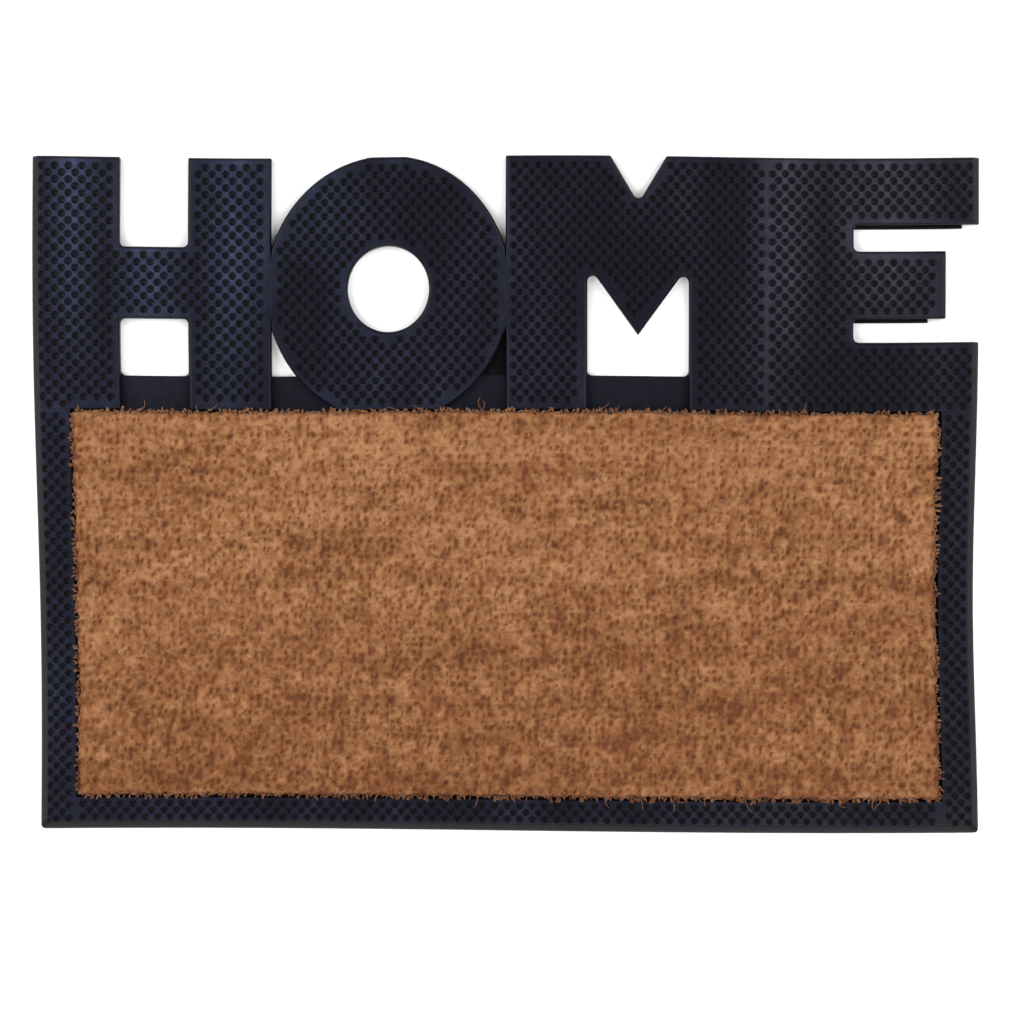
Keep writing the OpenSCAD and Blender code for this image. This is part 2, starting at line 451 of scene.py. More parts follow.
@dataclass(frozen=True)
class RubberFinish:
    """Moulded black rubber: a bluish black, with dust and a painted sheen on the lands and a painted shade
    that darkens the recesses.
    """

    name: str
    black: tuple[float, float, float, float] = linear(17, 17, 27)
    # colour of the dust and of the painted sheen on the lands
    dust_sheen_colour: tuple[float, float, float, float] = linear(57, 62, 86)
    # the dust and the painted sheen are blue on the left and grey towards the right
    grey_dust_sheen_colour: tuple[float, float, float, float] = linear(62, 61, 70)
    turns_grey: tuple[float, float] = (-150 * MM, 250 * MM)
    # painted shade: the colour that the recesses darken to, deepest at their floors
    deep: tuple[float, float, float, float] = linear(6, 6, 9)
    dust_sheen_amount: float = 0.8
    off_land: float = 0.12
    grain: float = 0.12
    shine: float = 0.085
    # how many hills of each pattern stand along a metre
    cloud_scale: float = 17.0
    scuff_scale: float = 150.0
    pore_scale: float = 1100.0
    # bands of painted sheen along X, with the wear of the creases that rolling leaves: the middle and half
    # width of each stretch
    sheen_crease_bands: tuple[tuple[float, float], ...] = (
        (-322 * MM, 24 * MM), (-262 * MM, 34 * MM), (-203 * MM, 30 * MM), (207 * MM, 31 * MM),
        (280 * MM, 48 * MM))
    crease_sheen_strength: float = 0.75
    # along Y, these bands are faint up to the first place and at their full strength from the second
    crease_sheen_rise: tuple[float, float] = (90 * MM, 165 * MM)
    # places where the dust and the painted sheen fade: the middle, in X and Y, and the radius of each
    faded_places: tuple[tuple[float, float, float], ...] = (
        (272 * MM, 88 * MM, 62 * MM), (96 * MM, 150 * MM, 85 * MM))
    # share of the dust and sheen that stays on such a place, and share of its radius where it is faintest
    faded_share: float = 0.12
    faded_core: float = 0.4

    def crease_sheen(self, graph: Graph, spot: bpy.types.bpy_prop_collection) -> bpy.types.NodeSocket:
        """Adds the painted sheen and wear in bands along X, which is less towards the letters' feet.

        Args:
            graph: the material's nodes.
            spot: X, Y and Z of the shaded place.

        Returns:
            The sheen and wear, from 0 to 1.
        """
        streak_sheen = 0.0
        for middle, half_width in self.sheen_crease_bands:
            away = graph.math("ABSOLUTE", graph.math("SUBTRACT", spot["X"], middle))
            streak_sheen = graph.math("MAXIMUM", streak_sheen, graph.fade(away, 0.0, half_width, 1.0, 0.0))
        return graph.math("MULTIPLY", streak_sheen, graph.fade(spot["Y"], *self.crease_sheen_rise, 0.15, 1.0))

    def dust_and_sheen(self, graph: Graph, cloud: bpy.types.NodeSocket, scuff: bpy.types.NodeSocket,
             spot: bpy.types.bpy_prop_collection) -> bpy.types.NodeSocket:
        """Adds the dust and the painted sheen: in broad patches and along the bands, broken up by scuffs, on
        the lands only.

        Args:
            graph: the material's nodes.
            cloud: a broad noise.
            scuff: a fine noise.
            spot: X, Y and Z of the shaded place.

        Returns:
            How much dust and painted sheen the place has, from 0 to 1.
        """
        streak_sheen = graph.math("MULTIPLY", self.crease_sheen(graph, spot), self.crease_sheen_strength)
        patches = graph.math("ADD", graph.fade(cloud, 0.42, 0.78, 0.04, 0.5), streak_sheen)
        patches = graph.math("MULTIPLY", patches, self.dust_sheen_amount)
        on_land = graph.fade(spot["Z"], TREAD_TOP - 0.35 * MM, TREAD_TOP - 0.03 * MM, self.off_land, 1.0)
        dust_and_sheen = graph.math("MULTIPLY", patches, graph.fade(scuff, 0.3, 0.66, 0.45, 1.0))
        dust_and_sheen = graph.math("MULTIPLY", dust_and_sheen, on_land)
        for x, y, radius in self.faded_places:
            across = graph.math("POWER", graph.math("SUBTRACT", spot["X"], x), 2.0)
            along = graph.math("POWER", graph.math("SUBTRACT", spot["Y"], y), 2.0)
            away = graph.math("SQRT", graph.math("ADD", across, along))
            kept = graph.fade(away, self.faded_core * radius, radius, self.faded_share, 1.0)
            dust_and_sheen = graph.math("MULTIPLY", dust_and_sheen, kept)
        return dust_and_sheen

    def material(self) -> bpy.types.Material:
        """Makes the material.

        Returns:
            The rubber material, patterned on object coordinates.
        """
        material, graph = new_material(self.name)
        place = graph.add("ShaderNodeTexCoord").outputs["Object"]
        spot = graph.add("ShaderNodeSeparateXYZ", {0: place}).outputs
        # broad patches drawn out along Y, which carry dust and painted sheen
        cloud = graph.noise(graph.stretch(place, (1.0, 0.45, 1.0)), self.cloud_scale, 3.0)
        scuff = graph.noise(place, self.scuff_scale, 3.0, 0.6)
        pores = graph.noise(place, self.pore_scale, 2.0)
        dust_and_sheen = self.dust_and_sheen(graph, cloud, scuff, spot)
        # painted shade: the colour darkens from the black to the deep colour down the walls of the recesses
        depth = graph.fade(spot["Z"], TREAD_TOP - 1.5 * MM, TREAD_TOP - 0.3 * MM)
        ground = graph.mix(depth, self.deep, self.black)
        # the tint of the dust and the painted sheen, bluer on the left
        dust_sheen_tint = graph.mix(graph.fade(spot["X"], *self.turns_grey), self.dust_sheen_colour, self.grey_dust_sheen_colour)
        powdery = graph.math("MULTIPLY", dust_and_sheen, 0.15)
        rough = graph.math("ADD", graph.fade(scuff, 0.3, 0.7, 0.32, 0.40), powdery)
        relief = graph.math("ADD", graph.math("MULTIPLY", pores, 0.5), scuff)
        graph.shade({
            "Base Color": graph.mix(dust_and_sheen, ground, dust_sheen_tint), "Roughness": rough,
            "Normal": graph.bump(relief, self.grain, 0.15 * MM), "Specular IOR Level": self.shine})
        return material


@dataclass(frozen=True)
class CoirFinish:
    """Coconut fibre: red brown to straw, each strand of one colour, by its own tone and redness."""

    name: str = "coir_fibre"
    dark: tuple[float, float, float, float] = linear(82, 49, 25)
    middle: tuple[float, float, float, float] = linear(125, 83, 49)
    straw: tuple[float, float, float, float] = linear(152, 109, 74)
    red: tuple[float, float, float, float] = linear(105, 54, 31)
    # how far short fine streaks change the tone, for a surface that no single strand shows on
    streaks: float = 0.0
    streak_scale: float = 560.0

    def material(self) -> bpy.types.Material:
        """Makes the material.

        Returns:
            The fibre material, which reads each strand's own tone and redness.
        """
        material, graph = new_material(self.name)
        tone = graph.add("ShaderNodeAttribute", attribute_name=TONE).outputs["Fac"]
        redness = graph.add("ShaderNodeAttribute", attribute_name=REDNESS).outputs["Fac"]
        inputs = {"Roughness": 0.85, "Specular IOR Level": 0.12, "Sheen Weight": 0.1}
        if self.streaks:
            place = graph.add("ShaderNodeTexCoord").outputs["Object"]
            fine = graph.noise(graph.stretch(place, (1.0, 0.7, 1.0)), self.streak_scale, 4.0, 0.6)
            tone = graph.math("ADD", tone, graph.fade(fine, 0.25, 0.75, -self.streaks, self.streaks))
            inputs["Normal"] = graph.bump(fine, 0.5, 0.4 * MM)
        lower = graph.mix(graph.fade(tone, 0.0, 0.5), self.dark, self.middle)
        brown = graph.mix(graph.fade(tone, 0.5, 1.0), lower, self.straw)
        inputs["Base Color"] = graph.mix(redness, brown, self.red)
        graph.shade(inputs)
        return material


@dataclass(frozen=True)
class GroundFinish:
    """A rough ground in two colours, for the backing and the bond under it."""

    name: str
    dark: tuple[float, float, float, float]
    light: tuple[float, float, float, float]
    scale: float
    stretch: tuple[float, float, float] = (1.0, 1.0, 1.0)
    relief: float = 0.6

    def material(self) -> bpy.types.Material:
        """Makes the material.

        Returns:
            The material, patterned on object coordinates.
        """
        material, graph = new_material(self.name)
        place = graph.stretch(graph.add("ShaderNodeTexCoord").outputs["Object"], self.stretch)
        fine = graph.noise(place, self.scale, 5.0, 0.65)
        broad = graph.noise(place, 14.0, 2.0)
        patches = graph.fade(broad, 0.3, 0.7, 0.0, 0.25)
        blend = graph.math("ADD", graph.fade(fine, 0.3, 0.7, 0.0, 0.75), patches)
        graph.shade({
            "Base Color": graph.mix(blend, self.dark, self.light),
            "Roughness": graph.fade(fine, 0.3, 0.7, 0.65, 0.9),
            "Normal": graph.bump(fine, self.relief, 0.4 * MM), "Specular IOR Level": 0.2})
        return material


# ---------- Rubber surround ----------

LIP_WIDTH = 6.0 * MM
LIP_EDGE = 1.5 * MM
RIM_RADIUS = 2.6 * MM


class Beside(Enum):
    """What lies outside an edge of a tread piece, with the radius of the rounding that it gets."""

    OPEN = RIM_RADIUS
    LIP = 0.9 * MM
    TRAY = 1.0 * MM
    SEAM = 0.3 * MM

    def inset(self, height: float) -> float:
        """Says how far in from the top edge's true line the wall stands.

        Args:
            height: height above the floor.

        Returns:
            The distance, negative where the wall stands further out.
        """
        radius = self.value
        drop = TREAD_TOP - height
        foot = 0.2 * MM if height <= 0 else 0.0
        if self is Beside.LIP:
            slope = LIP_WIDTH * min(drop / (TREAD_TOP - LIP_EDGE), 1.0)
            return foot + radius * max(0.0, 1 - drop / radius) ** 2 - slope
        above = max(0.0, radius - drop)
        return foot + radius - math.sqrt(radius ** 2 - above ** 2)


def ring_heights() -> tuple[float, ...]:
    """Heights of the rings that a tread piece's wall is made of, from the floor to the top."""
    turns = [math.radians(a) for a in (0, 25, 50, 70, 90)]
    return (0.0, 0.5 * MM, LIP_EDGE, 4.0 * MM, *[TREAD_TOP - RIM_RADIUS * (1 - math.sin(t)) for t in turns])


@dataclass
class Outline:
    """One closed edge of a flat face, in short steps, with the material on the left of the way round."""

    points: np.ndarray
    kinds: list[Beside] = field(default_factory=list)
    step: float = 10 * MM
    round_step: float = 4 * MM
    corner_degrees: float = 30.0
    mat_corner: float = 3.4 * MM
    piece_corner: float = 0.9 * MM

    @staticmethod
    def trace(node: str, level: float) -> list["Outline"]:
        """Finds the edges of a CAD node's faces that look up at one height.

        Args:
            node: the node's name.
            level: the faces' height.

        Returns:
            The edges, outer and inner.
        """
        shell = bmesh.new()
        shell.from_mesh(frame["nodes"][node].data)
        bmesh.ops.remove_doubles(shell, verts=shell.verts, dist=MERGE_GAP)
        shell.verts.index_update()
        shell.normal_update()
        flat = [f for f in shell.faces
                if f.normal.z > 0.99 and all(abs(v.co.z - level) < 10 * MERGE_GAP for v in f.verts)]
        chosen = set(flat)
        follow = {}
        for face in flat:
            for corner in face.loops:
                if not any(other in chosen for other in corner.edge.link_faces if other is not face):
                    follow[corner.vert.index] = corner.link_loop_next.vert.index
        places = [(v.co.x, v.co.y) for v in shell.verts]
        shell.free()
        found = []
        while follow:
            start, here = follow.popitem()
            path = [start]
            while here != start:
                path.append(here)
                here = follow.pop(here)
            found.append(Outline(np.array([places[i] for i in path])))
        for outline in found:
            outline.even_out()
        return found

    def turns(self) -> np.ndarray:
        """Angle that the way turns at each point, in degrees, to the left."""
        ahead = np.roll(self.points, -1, 0) - self.points
        behind = np.roll(ahead, 1, 0)
        cross = behind[:, 0] * ahead[:, 1] - behind[:, 1] * ahead[:, 0]
        return np.degrees(np.arctan2(cross, (behind * ahead).sum(1)))

    def even_out(self) -> None:
        """Drops needless points, cuts long edges into steps and rounds the facets of curved stretches."""
        points = [self.points[0]]
        for here in self.points[1:]:
            if np.hypot(*(here - points[-1])) > 0.05 * MM:
                points.append(here)
        self.points = np.array(points)
        self.points = self.points[np.abs(self.turns()) > 0.15]
        turn = self.turns()
        # the facets of a curve turn a little at each point, and real corners turn much more
        curved = (np.abs(turn) > 2) & (np.abs(turn) < 15)
        count = len(self.points)
        result = []
        for i in range(count):
            before, start, end, after = (self.points[(i + k) % count] for k in (-1, 0, 1, 2))
            length = np.hypot(*(end - start))
            bowed = curved[i] and curved[(i + 1) % count] and turn[i] * turn[(i + 1) % count] > 0
            pieces = max(1, math.ceil(length / (self.round_step if bowed else self.step)))
            for n in range(pieces):
                t = n / pieces
                place = start + (end - start) * t
                if bowed:
                    # a Catmull-Rom curve through the corners of the facets
                    bow = 2 * before - 5 * start + 4 * end - after
                    twist = 3 * start - before - 3 * end + after
                    place = 0.5 * (2 * start + (end - before) * t + bow * t ** 2 + twist * t ** 3)
                result.append(place)
        self.points = np.array(result)

    def ring(self, insets: dict[Beside, float]) -> np.ndarray:
        """Places the way round one ring of the wall, with its sharp corners rounded.

        Args:
            insets: how far in the ring stands beside each kind of edge.

        Returns:
            The ring's points, as many for every ring.
        """
        ahead = np.roll(self.points, -1, 0) - self.points
        ahead /= np.hypot(ahead[:, 0], ahead[:, 1])[:, None]
        inward = np.column_stack([-ahead[:, 1], ahead[:, 0]])
        depth = np.array([insets[k] for k in self.kinds])
        result = []
        turns = self.turns()
        for i, place in enumerate(self.points):
            normal_in, normal_out = inward[i - 1], inward[i]
            depth_in, depth_out = depth[i - 1], depth[i]
            if abs(turns[i]) < self.corner_degrees:
                middle = normal_in + normal_out
                middle /= (middle ** 2).sum() / 2
                result.append(place + middle * (depth_in + depth_out) / 2)
                continue
            cross = normal_in[0] * normal_out[1] - normal_in[1] * normal_out[0]
            along_out = np.array([normal_out[1], -normal_out[0]])
            along_in = np.array([normal_in[1], -normal_in[0]])
            corner = place + (depth_in * along_out - depth_out * along_in) / cross
            pair = {self.kinds[i - 1], self.kinds[i]}
            if Beside.SEAM in pair:
                result.append(corner)
                continue
            reach = self.mat_corner if pair == {Beside.LIP} else self.piece_corner
            first, last = corner - ahead[i - 1] * reach, corner + ahead[i] * reach
            for t in (0, 0.25, 0.5, 0.75, 1):
                result.append(first * (1 - t) ** 2 + corner * 2 * t * (1 - t) + last * t ** 2)
        return np.array(result)


def ring_shell(loops: list[list[np.ndarray]], heights: tuple[float, ...], slice_step: float = 20 * MM
               ) -> bmesh.types.BMesh:
    """Closes stacked rings into a shell, with a floor that is sliced so that it can bend.

    Args:
        loops: for each edge of the piece, its rings from the bottom up.
        heights: the rings' heights.
        slice_step: spacing of the slices.

    Returns:
        The shell.
    """
    shell = bmesh.new()
    floor_edges, top_edges = [], []
    for rings in loops:
        rows = [[shell.verts.new((x, y, height)) for x, y in ring] for ring, height in zip(rings, heights)]
        count = len(rows[0])
        for lower, upper in zip(rows, rows[1:]):
            for i in range(count):
                j = (i + 1) % count
                shell.faces.new((lower[i], lower[j], upper[j], upper[i]))
        for row, edges in ((rows[0], floor_edges), (rows[-1], top_edges)):
            for i in range(count):
                edges.append(shell.edges.get((row[i], row[(i + 1) % count])))
    for edges in (top_edges, floor_edges):
        bmesh.ops.triangle_fill(shell, use_beauty=True, edges=edges)
    bmesh.ops.recalc_face_normals(shell, faces=shell.faces)
    corners = np.vstack([rings[0] for rings in loops])
    low, high = corners.min(0), corners.max(0)
    for axis in (0, 1):
        for i in range(1, int((high[axis] - low[axis]) // slice_step)):
            cut, facing = Vector(), Vector()
            cut[axis] = low[axis] + i * slice_step
            facing[axis] = 1.0
            floor = [f for f in shell.faces
                     if f.normal.z < -0.99 and f.calc_center_median().z < MERGE_GAP]
            geometry = list(dict.fromkeys(g for f in floor for g in (f, *f.edges, *f.verts)))
            bmesh.ops.bisect_plane(shell, geom=geometry, plane_co=cut, plane_no=facing, dist=MERGE_GAP)
    return shell


def thin_plate(node: str, low: float, high: float, level: float, grow: float) -> bmesh.types.BMesh:
    """Builds a thin rubber plate with straight walls.

    Args:
        node: the CAD node that it belongs to.
        low: height of its underside.
        high: height of its top.
        level: height of the CAD faces that give its outline.
        grow: how far its walls stand out, into the pieces beside it.

    Returns:
        The plate.
    """
    outlines = Outline.trace(node, level)
    round_off = 0.3 * MM
    heights = (low, high - round_off, high)
    loops = []
    for outline in outlines:
        outline.kinds = [Beside.SEAM] * len(outline.points)
        loops.append([outline.ring({Beside.SEAM: d - grow}) for d in (0.0, 0.0, round_off)])
    return ring_shell(loops, heights)


@dataclass(frozen=True)
class DimplePunch:
    """The tool that presses one round dimple, as rings of radius and height about the tread's surface."""

    sides: int = 12
    rings: tuple[tuple[float, float], ...] = (
        (3.45 * MM, 0.3 * MM),
        (3.3 * MM, 0.0),
        (3.05 * MM, -0.25 * MM),
        (2.7 * MM, -0.9 * MM),
        (1.9 * MM, -1.6 * MM),
    )

    def tool(self) -> bpy.types.Object:
        """Makes the tool as a closed shape of a few dozen faces.

        Returns:
            An object that isn't linked to the scene.
        """
        shape = bmesh.new()
        loops = []
        for radius, height in self.rings:
            turns = [2 * math.pi * (i + 0.5) / self.sides for i in range(self.sides)]
            places = [(radius * math.cos(a), radius * math.sin(a), height) for a in turns]
            loops.append([shape.verts.new(place) for place in places])
        for upper, lower in zip(loops, loops[1:]):
            for i in range(self.sides):
                j = (i + 1) % self.sides
                shape.faces.new((upper[j], upper[i], lower[i], lower[j]))
        shape.faces.new(loops[0])
        shape.faces.new(reversed(loops[-1]))
        bmesh.ops.recalc_face_normals(shape, faces=shape.faces)
        mesh = bpy.data.meshes.new("dimple_punch")
        shape.to_mesh(mesh)
        shape.free()
        return bpy.data.objects.new("dimple_punch", mesh)


def dimple_tree() -> bpy.types.NodeTree:
    """Builds the Geometry Nodes tree that sets a staggered field of punches inside a plate's edges.

    Returns:
        The tree.
    """
    tree = new_node_group("dimple_field", {
        "Corner": "NodeSocketVector", "Pitch X": "NodeSocketFloat", "Pitch Y": "NodeSocketFloat",
        "Margin": "NodeSocketFloat", "Smallest": "NodeSocketFloat", "Largest": "NodeSocketFloat",
        "Punch": "NodeSocketObject", "Material": "NodeSocketMaterial", "Seed": "NodeSocketInt"})
    graph = Graph(tree)
    given = graph.add("NodeGroupInput").outputs
    plate = given["Geometry"]
    ends = graph.add("GeometryNodeBoundBox", {"Geometry": plate}).outputs
    size = graph.vector_math("SUBTRACT", ends["Max"], ends["Min"])
    size = graph.add("ShaderNodeSeparateXYZ", {0: size}).outputs
    spot = graph.add("GeometryNodeInputPosition").outputs[0]
    spot = graph.add("ShaderNodeSeparateXYZ", {0: spot}).outputs
    # the grid starts one step outside the plate's back left corner, and is a few steps larger than the plate
    half_pitch, steps, length, number, offset = {}, {}, {}, {}, {}
    for axis in "XY":
        half = graph.math("DIVIDE", given["Pitch " + axis], 2.0)
        count = graph.math("CEIL", graph.math("ADD", graph.math("DIVIDE", size[axis], half), 4.0))
        middle = graph.math("DIVIDE", count, 2.0)
        number[axis] = graph.math("ROUND", graph.math("ADD", graph.math("DIVIDE", spot[axis], half), middle))
        offset[axis] = graph.math("SUBTRACT", middle, 2.0)
        length[axis] = graph.math("MULTIPLY", count, half)
        half_pitch[axis], steps[axis] = half, count
    grid = graph.add("GeometryNodeMeshGrid", {
        "Size X": length["X"], "Size Y": length["Y"], "Vertices X": graph.math("ADD", steps["X"], 1.0),
        "Vertices Y": graph.math("ADD", steps["Y"], 1.0)}).outputs[0]
    # rows are counted from the back, where the first one starts
    row = graph.math("SUBTRACT", steps["Y"], number["Y"])
    remainder = graph.math("MODULO", graph.math("ADD", number["X"], row), 2.0)
    odd = graph.math("GREATER_THAN", remainder, 0.5)
    kept = graph.add("GeometryNodeDeleteGeometry", {"Geometry": grid, "Selection": odd}).outputs[0]
    forwards = graph.math("MULTIPLY", half_pitch["Y"], -1.0)
    shift = graph.add("ShaderNodeCombineXYZ", {
        "X": graph.math("MULTIPLY", offset["X"], half_pitch["X"]),
        "Y": graph.math("MULTIPLY", offset["Y"], forwards)}).outputs[0]
    moved = graph.add("GeometryNodeSetPosition", {
        "Geometry": kept, "Offset": graph.vector_math("ADD", shift, given["Corner"])}).outputs[0]
    points = graph.add("GeometryNodeMeshToPoints", {"Mesh": moved}).outputs[0]
    # a punch stays where its middle is on the plate and far enough from the plate's edges
    inside = graph.add("GeometryNodeProximity", {0: plate}, target_element="FACES").outputs["Distance"]
    clear = graph.add("GeometryNodeProximity", {0: graph.rim(plate)}, target_element="EDGES")
    off_plate = graph.math("GREATER_THAN", inside, 0.01 * MM)
    too_near = graph.math("LESS_THAN", clear.outputs["Distance"], given["Margin"])
    fit = graph.add("GeometryNodeDeleteGeometry", {
        "Geometry": points, "Selection": graph.math("MAXIMUM", off_plate, too_near)}).outputs[0]
    punch = graph.add("GeometryNodeObjectInfo", {"Object": given["Punch"]}).outputs["Geometry"]
    growth = graph.random(given["Smallest"], given["Largest"], given["Seed"])
    scale = graph.add("ShaderNodeCombineXYZ", {"X": growth, "Y": growth, "Z": 1.0}).outputs[0]
    punches = graph.add("GeometryNodeInstanceOnPoints", {"Points": fit, "Instance": punch, "Scale": scale})
    graph.end_geometry(punches.outputs[0], given["Material"])
    return tree


@dataclass
class RubberShop:
    """What all the rubber pieces share: their finishes, the dimple tools and a map of what stands where."""

    tread_nodes: tuple[str, ...]

    def __post_init__(self) -> None:
        """Makes the finishes and the tools."""
        self.tread = RubberFinish("rubber_tread").material()
        # the base sheet lies below the lands, so it takes this recess colour, near the black and so with
        # little painted shade, and a quarter of the dust and painted sheen
        self.smooth = RubberFinish("rubber_smooth", deep=linear(19, 19, 27), off_land=0.25).material()
        self.punch = DimplePunch().tool()
        self.dimples = dimple_tree()
        self.treads = self.tree_of(self.tread_nodes)
        sheet = thin_plate("base_sheet", -MM, SHEET_TOP, SHEET_TOP, 0.0)
        self.sheet = new_piece("sheet_tool", self.mesh_of(sheet, self.smooth))

    @staticmethod
    def mesh_of(shell: bmesh.types.BMesh, material: bpy.types.Material) -> bpy.types.Mesh:
        """Turns a shell into a mesh with one finish."""
        mesh = bpy.data.meshes.new("rubber")
        shell.to_mesh(mesh)
        shell.free()
        mesh.materials.append(material)
        return mesh

    @staticmethod
    def tree_of(nodes: tuple[str, ...]) -> BVHTree:
        """Makes one search tree of several CAD nodes.

        Args:
            nodes: the nodes' names.

        Returns:
            A tree that rays can be cast at.
        """
        points, faces = [], []
        for node in nodes:
            mesh = frame["nodes"][node].data
            start = len(points)
            points += [v.co.copy() for v in mesh.vertices]
            faces += [[start + i for i in p.vertices] for p in mesh.polygons]
        return BVHTree.FromPolygons(points, faces)

    def beside(self, start: np.ndarray, end: np.ndarray, look: float = 0.6 * MM) -> Beside:
        """Says what lies outside one step of a top edge.

        Args:
            start: where the step starts.
            end: where it ends, with the material on the left.
            look: how far outside the edge it looks.

        Returns:
            What is beside it.
        """
        way = (end - start) / np.hypot(*(end - start))
        outside = (start + end) / 2 + np.array([way[1], -way[0]]) * look
        hit = self.treads.ray_cast(Vector((*outside, TREAD_TOP + 10 * MM)), Vector((0, 0, -1)))[0]
        if hit is not None and hit.z > TREAD_TOP - 0.1 * MM:
            return Beside.SEAM
        if hit is not None and hit.z > TREAD_TOP - 1.5 * MM:
            return Beside.LIP
        reach = 2 * MM
        over_tray_x = BACKING_LOW.x - reach < outside[0] < BACKING_HIGH.x + reach
        over_tray_y = BACKING_LOW.y - reach < outside[1] < BACKING_HIGH.y + reach
        return Beside.TRAY if over_tray_x and over_tray_y else Beside.OPEN


@dataclass
class TreadPiece:
    """A thick piece of the surround: the CAD solid's outline with a rounded rim and a field of dimples."""

    node: str
    # spacing of the dimples along X and Y, counting every second row and column
    pitch: tuple[float, float]
    # place of the first dimple, in from the piece's left side and from its back
    first: tuple[float, float]
    seed: int
    has_skin: bool = False
    # no dimple's middle is nearer to an edge than this
    margin: float = 3.3 * MM
    # dimples bite this far into the shoulder of the outer lips
    lip_reach: float = 4.0 * MM
    # share of the room between two dimples that the larger and the smaller ones fill
    fill: tuple[float, float] = (0.93, 0.98)

    def body(self, shop: RubberShop, outlines: list[Outline]) -> bpy.types.Object:
        """Builds the piece without its dimples.

        Args:
            shop: the shared finishes and tools.
            outlines: the edges of its top.

        Returns:
            The piece, a plain closed mesh.
        """
        heights = ring_heights()
        loops = [[o.ring({k: k.inset(height) for k in Beside}) for height in heights] for o in outlines]
        return new_piece("tread_" + self.node, shop.mesh_of(ring_shell(loops, heights), shop.tread))

    def land(self, outlines: list[Outline], shop: RubberShop) -> bpy.types.Object:
        """Makes the flat top of the piece as a plate, widened over the outer lips.

        Args:
            outlines: the edges of its top.
            shop: the shared finishes and tools.

        Returns:
            The plate.
        """
        plate = bmesh.new()
        edges = []
        insets = {k: k.inset(TREAD_TOP) for k in Beside}
        insets[Beside.LIP] -= self.lip_reach
        for outline in outlines:
            corners = [plate.verts.new((x, y, TREAD_TOP)) for x, y in outline.ring(insets)]
            edges += [plate.edges.new((a, b)) for a, b in zip(corners, corners[1:] + corners[:1])]
        bmesh.ops.triangle_fill(plate, use_beauty=True, edges=edges)
        return new_piece("land_" + self.node, shop.mesh_of(plate, shop.tread))

    def punches(self, shop: RubberShop, plate: bpy.types.Object) -> bpy.types.Object:
        """Turns the plate into the field of punches that fits on it.

        Args:
            shop: the shared finishes and tools.
            plate: the flat top of the piece.

        Returns:
            The same object, now the punches.
        """
        low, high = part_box(self.node)
        corner = (low.x + self.first[0], high.y - self.first[1], TREAD_TOP)
        widest = 2 * max(radius for radius, height in DimplePunch().rings)
        room = math.hypot(*self.pitch) / 2 / widest
        pattern = plate.modifiers.new("dimples", "NODES")
        pattern.node_group = shop.dimples
        set_inputs(pattern, {
            "Corner": corner, "Pitch X": self.pitch[0], "Pitch Y": self.pitch[1], "Margin": self.margin,
            "Smallest": self.fill[0] * room, "Largest": self.fill[1] * room, "Punch": shop.punch,
            "Material": shop.tread, "Seed": self.seed})
        settle_modifiers(plate)
        return plate

    def add_skin(self, piece: bpy.types.Object) -> None:
        """Adds the thin skin that the mould leaves at floor level beside the piece.

        Args:
            piece: the piece that gets it.
        """
        below = 0.06 * MM
        skin = thin_plate(self.node, 0.1 * MM, SHEET_TOP - below, SHEET_TOP, 0.3 * MM)
        skin.from_mesh(piece.data)
        skin.to_mesh(piece.data)
        skin.free()

    def build(self, shop: RubberShop) -> bpy.types.Object:
        """Args:
            shop: the shared finishes and tools.

        Returns:
            The finished piece.
        """
        outlines = Outline.trace(self.node, TREAD_TOP)
        for outline in outlines:
            ends = np.roll(outline.points, -1, 0)
            outline.kinds = [shop.beside(start, end) for start, end in zip(outline.points, ends)]
        piece = self.body(shop, outlines)
        tools = self.punches(shop, self.land(outlines, shop))
        count = len(tools.data.vertices) // len(shop.punch.data.vertices)
        for tool in (shop.sheet, tools):
            press = piece.modifiers.new("press", "BOOLEAN")
            press.operation = "DIFFERENCE"
            press.solver = "MANIFOLD"
            press.object = tool
        settle_modifiers(piece)
        bpy.data.objects.remove(tools)
        if self.has_skin:
            self.add_skin(piece)
        LOG.info("%s: %d dimples", piece.name, count)
        return finish_rubber(piece, self.node)


def soften(piece: bpy.types.Object, sharp_degrees: float = 50.0) -> None:
    """Shades a piece smooth over its roundings and flat over its flats.

    Args:
        piece: the object to shade.
        sharp_degrees: edges sharper than this stay sharp.
    """
    mesh = piece.data
    mesh.shade_smooth()
    mesh.set_sharp_from_angle(angle=math.radians(sharp_degrees))
    weigh = piece.modifiers.new("weigh", "WEIGHTED_NORMAL")
    weigh.keep_sharp = True
    settle_modifiers(piece)


def declare(piece: bpy.types.Object, node: str) -> None:
    """Ties a finished piece to the CAD model.

    Args:
        piece: the finished piece.
        node: the CAD node that it stands for.
    """
    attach(piece, BODY)
    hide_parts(node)


def finish_rubber(piece: bpy.types.Object, node: str) -> bpy.types.Object:
    """Args:
        piece: the piece, in the true mat's place.
        node: the CAD node that it stands for.

    Returns:
        The finished piece.
    """
    soften(piece)
    WANDER.apply(piece.data)
    give_flat_map(piece.data)
    declare(piece, node)
    LOG.info("%s: %d faces", piece.name, len(piece.data.polygons))
    return piece


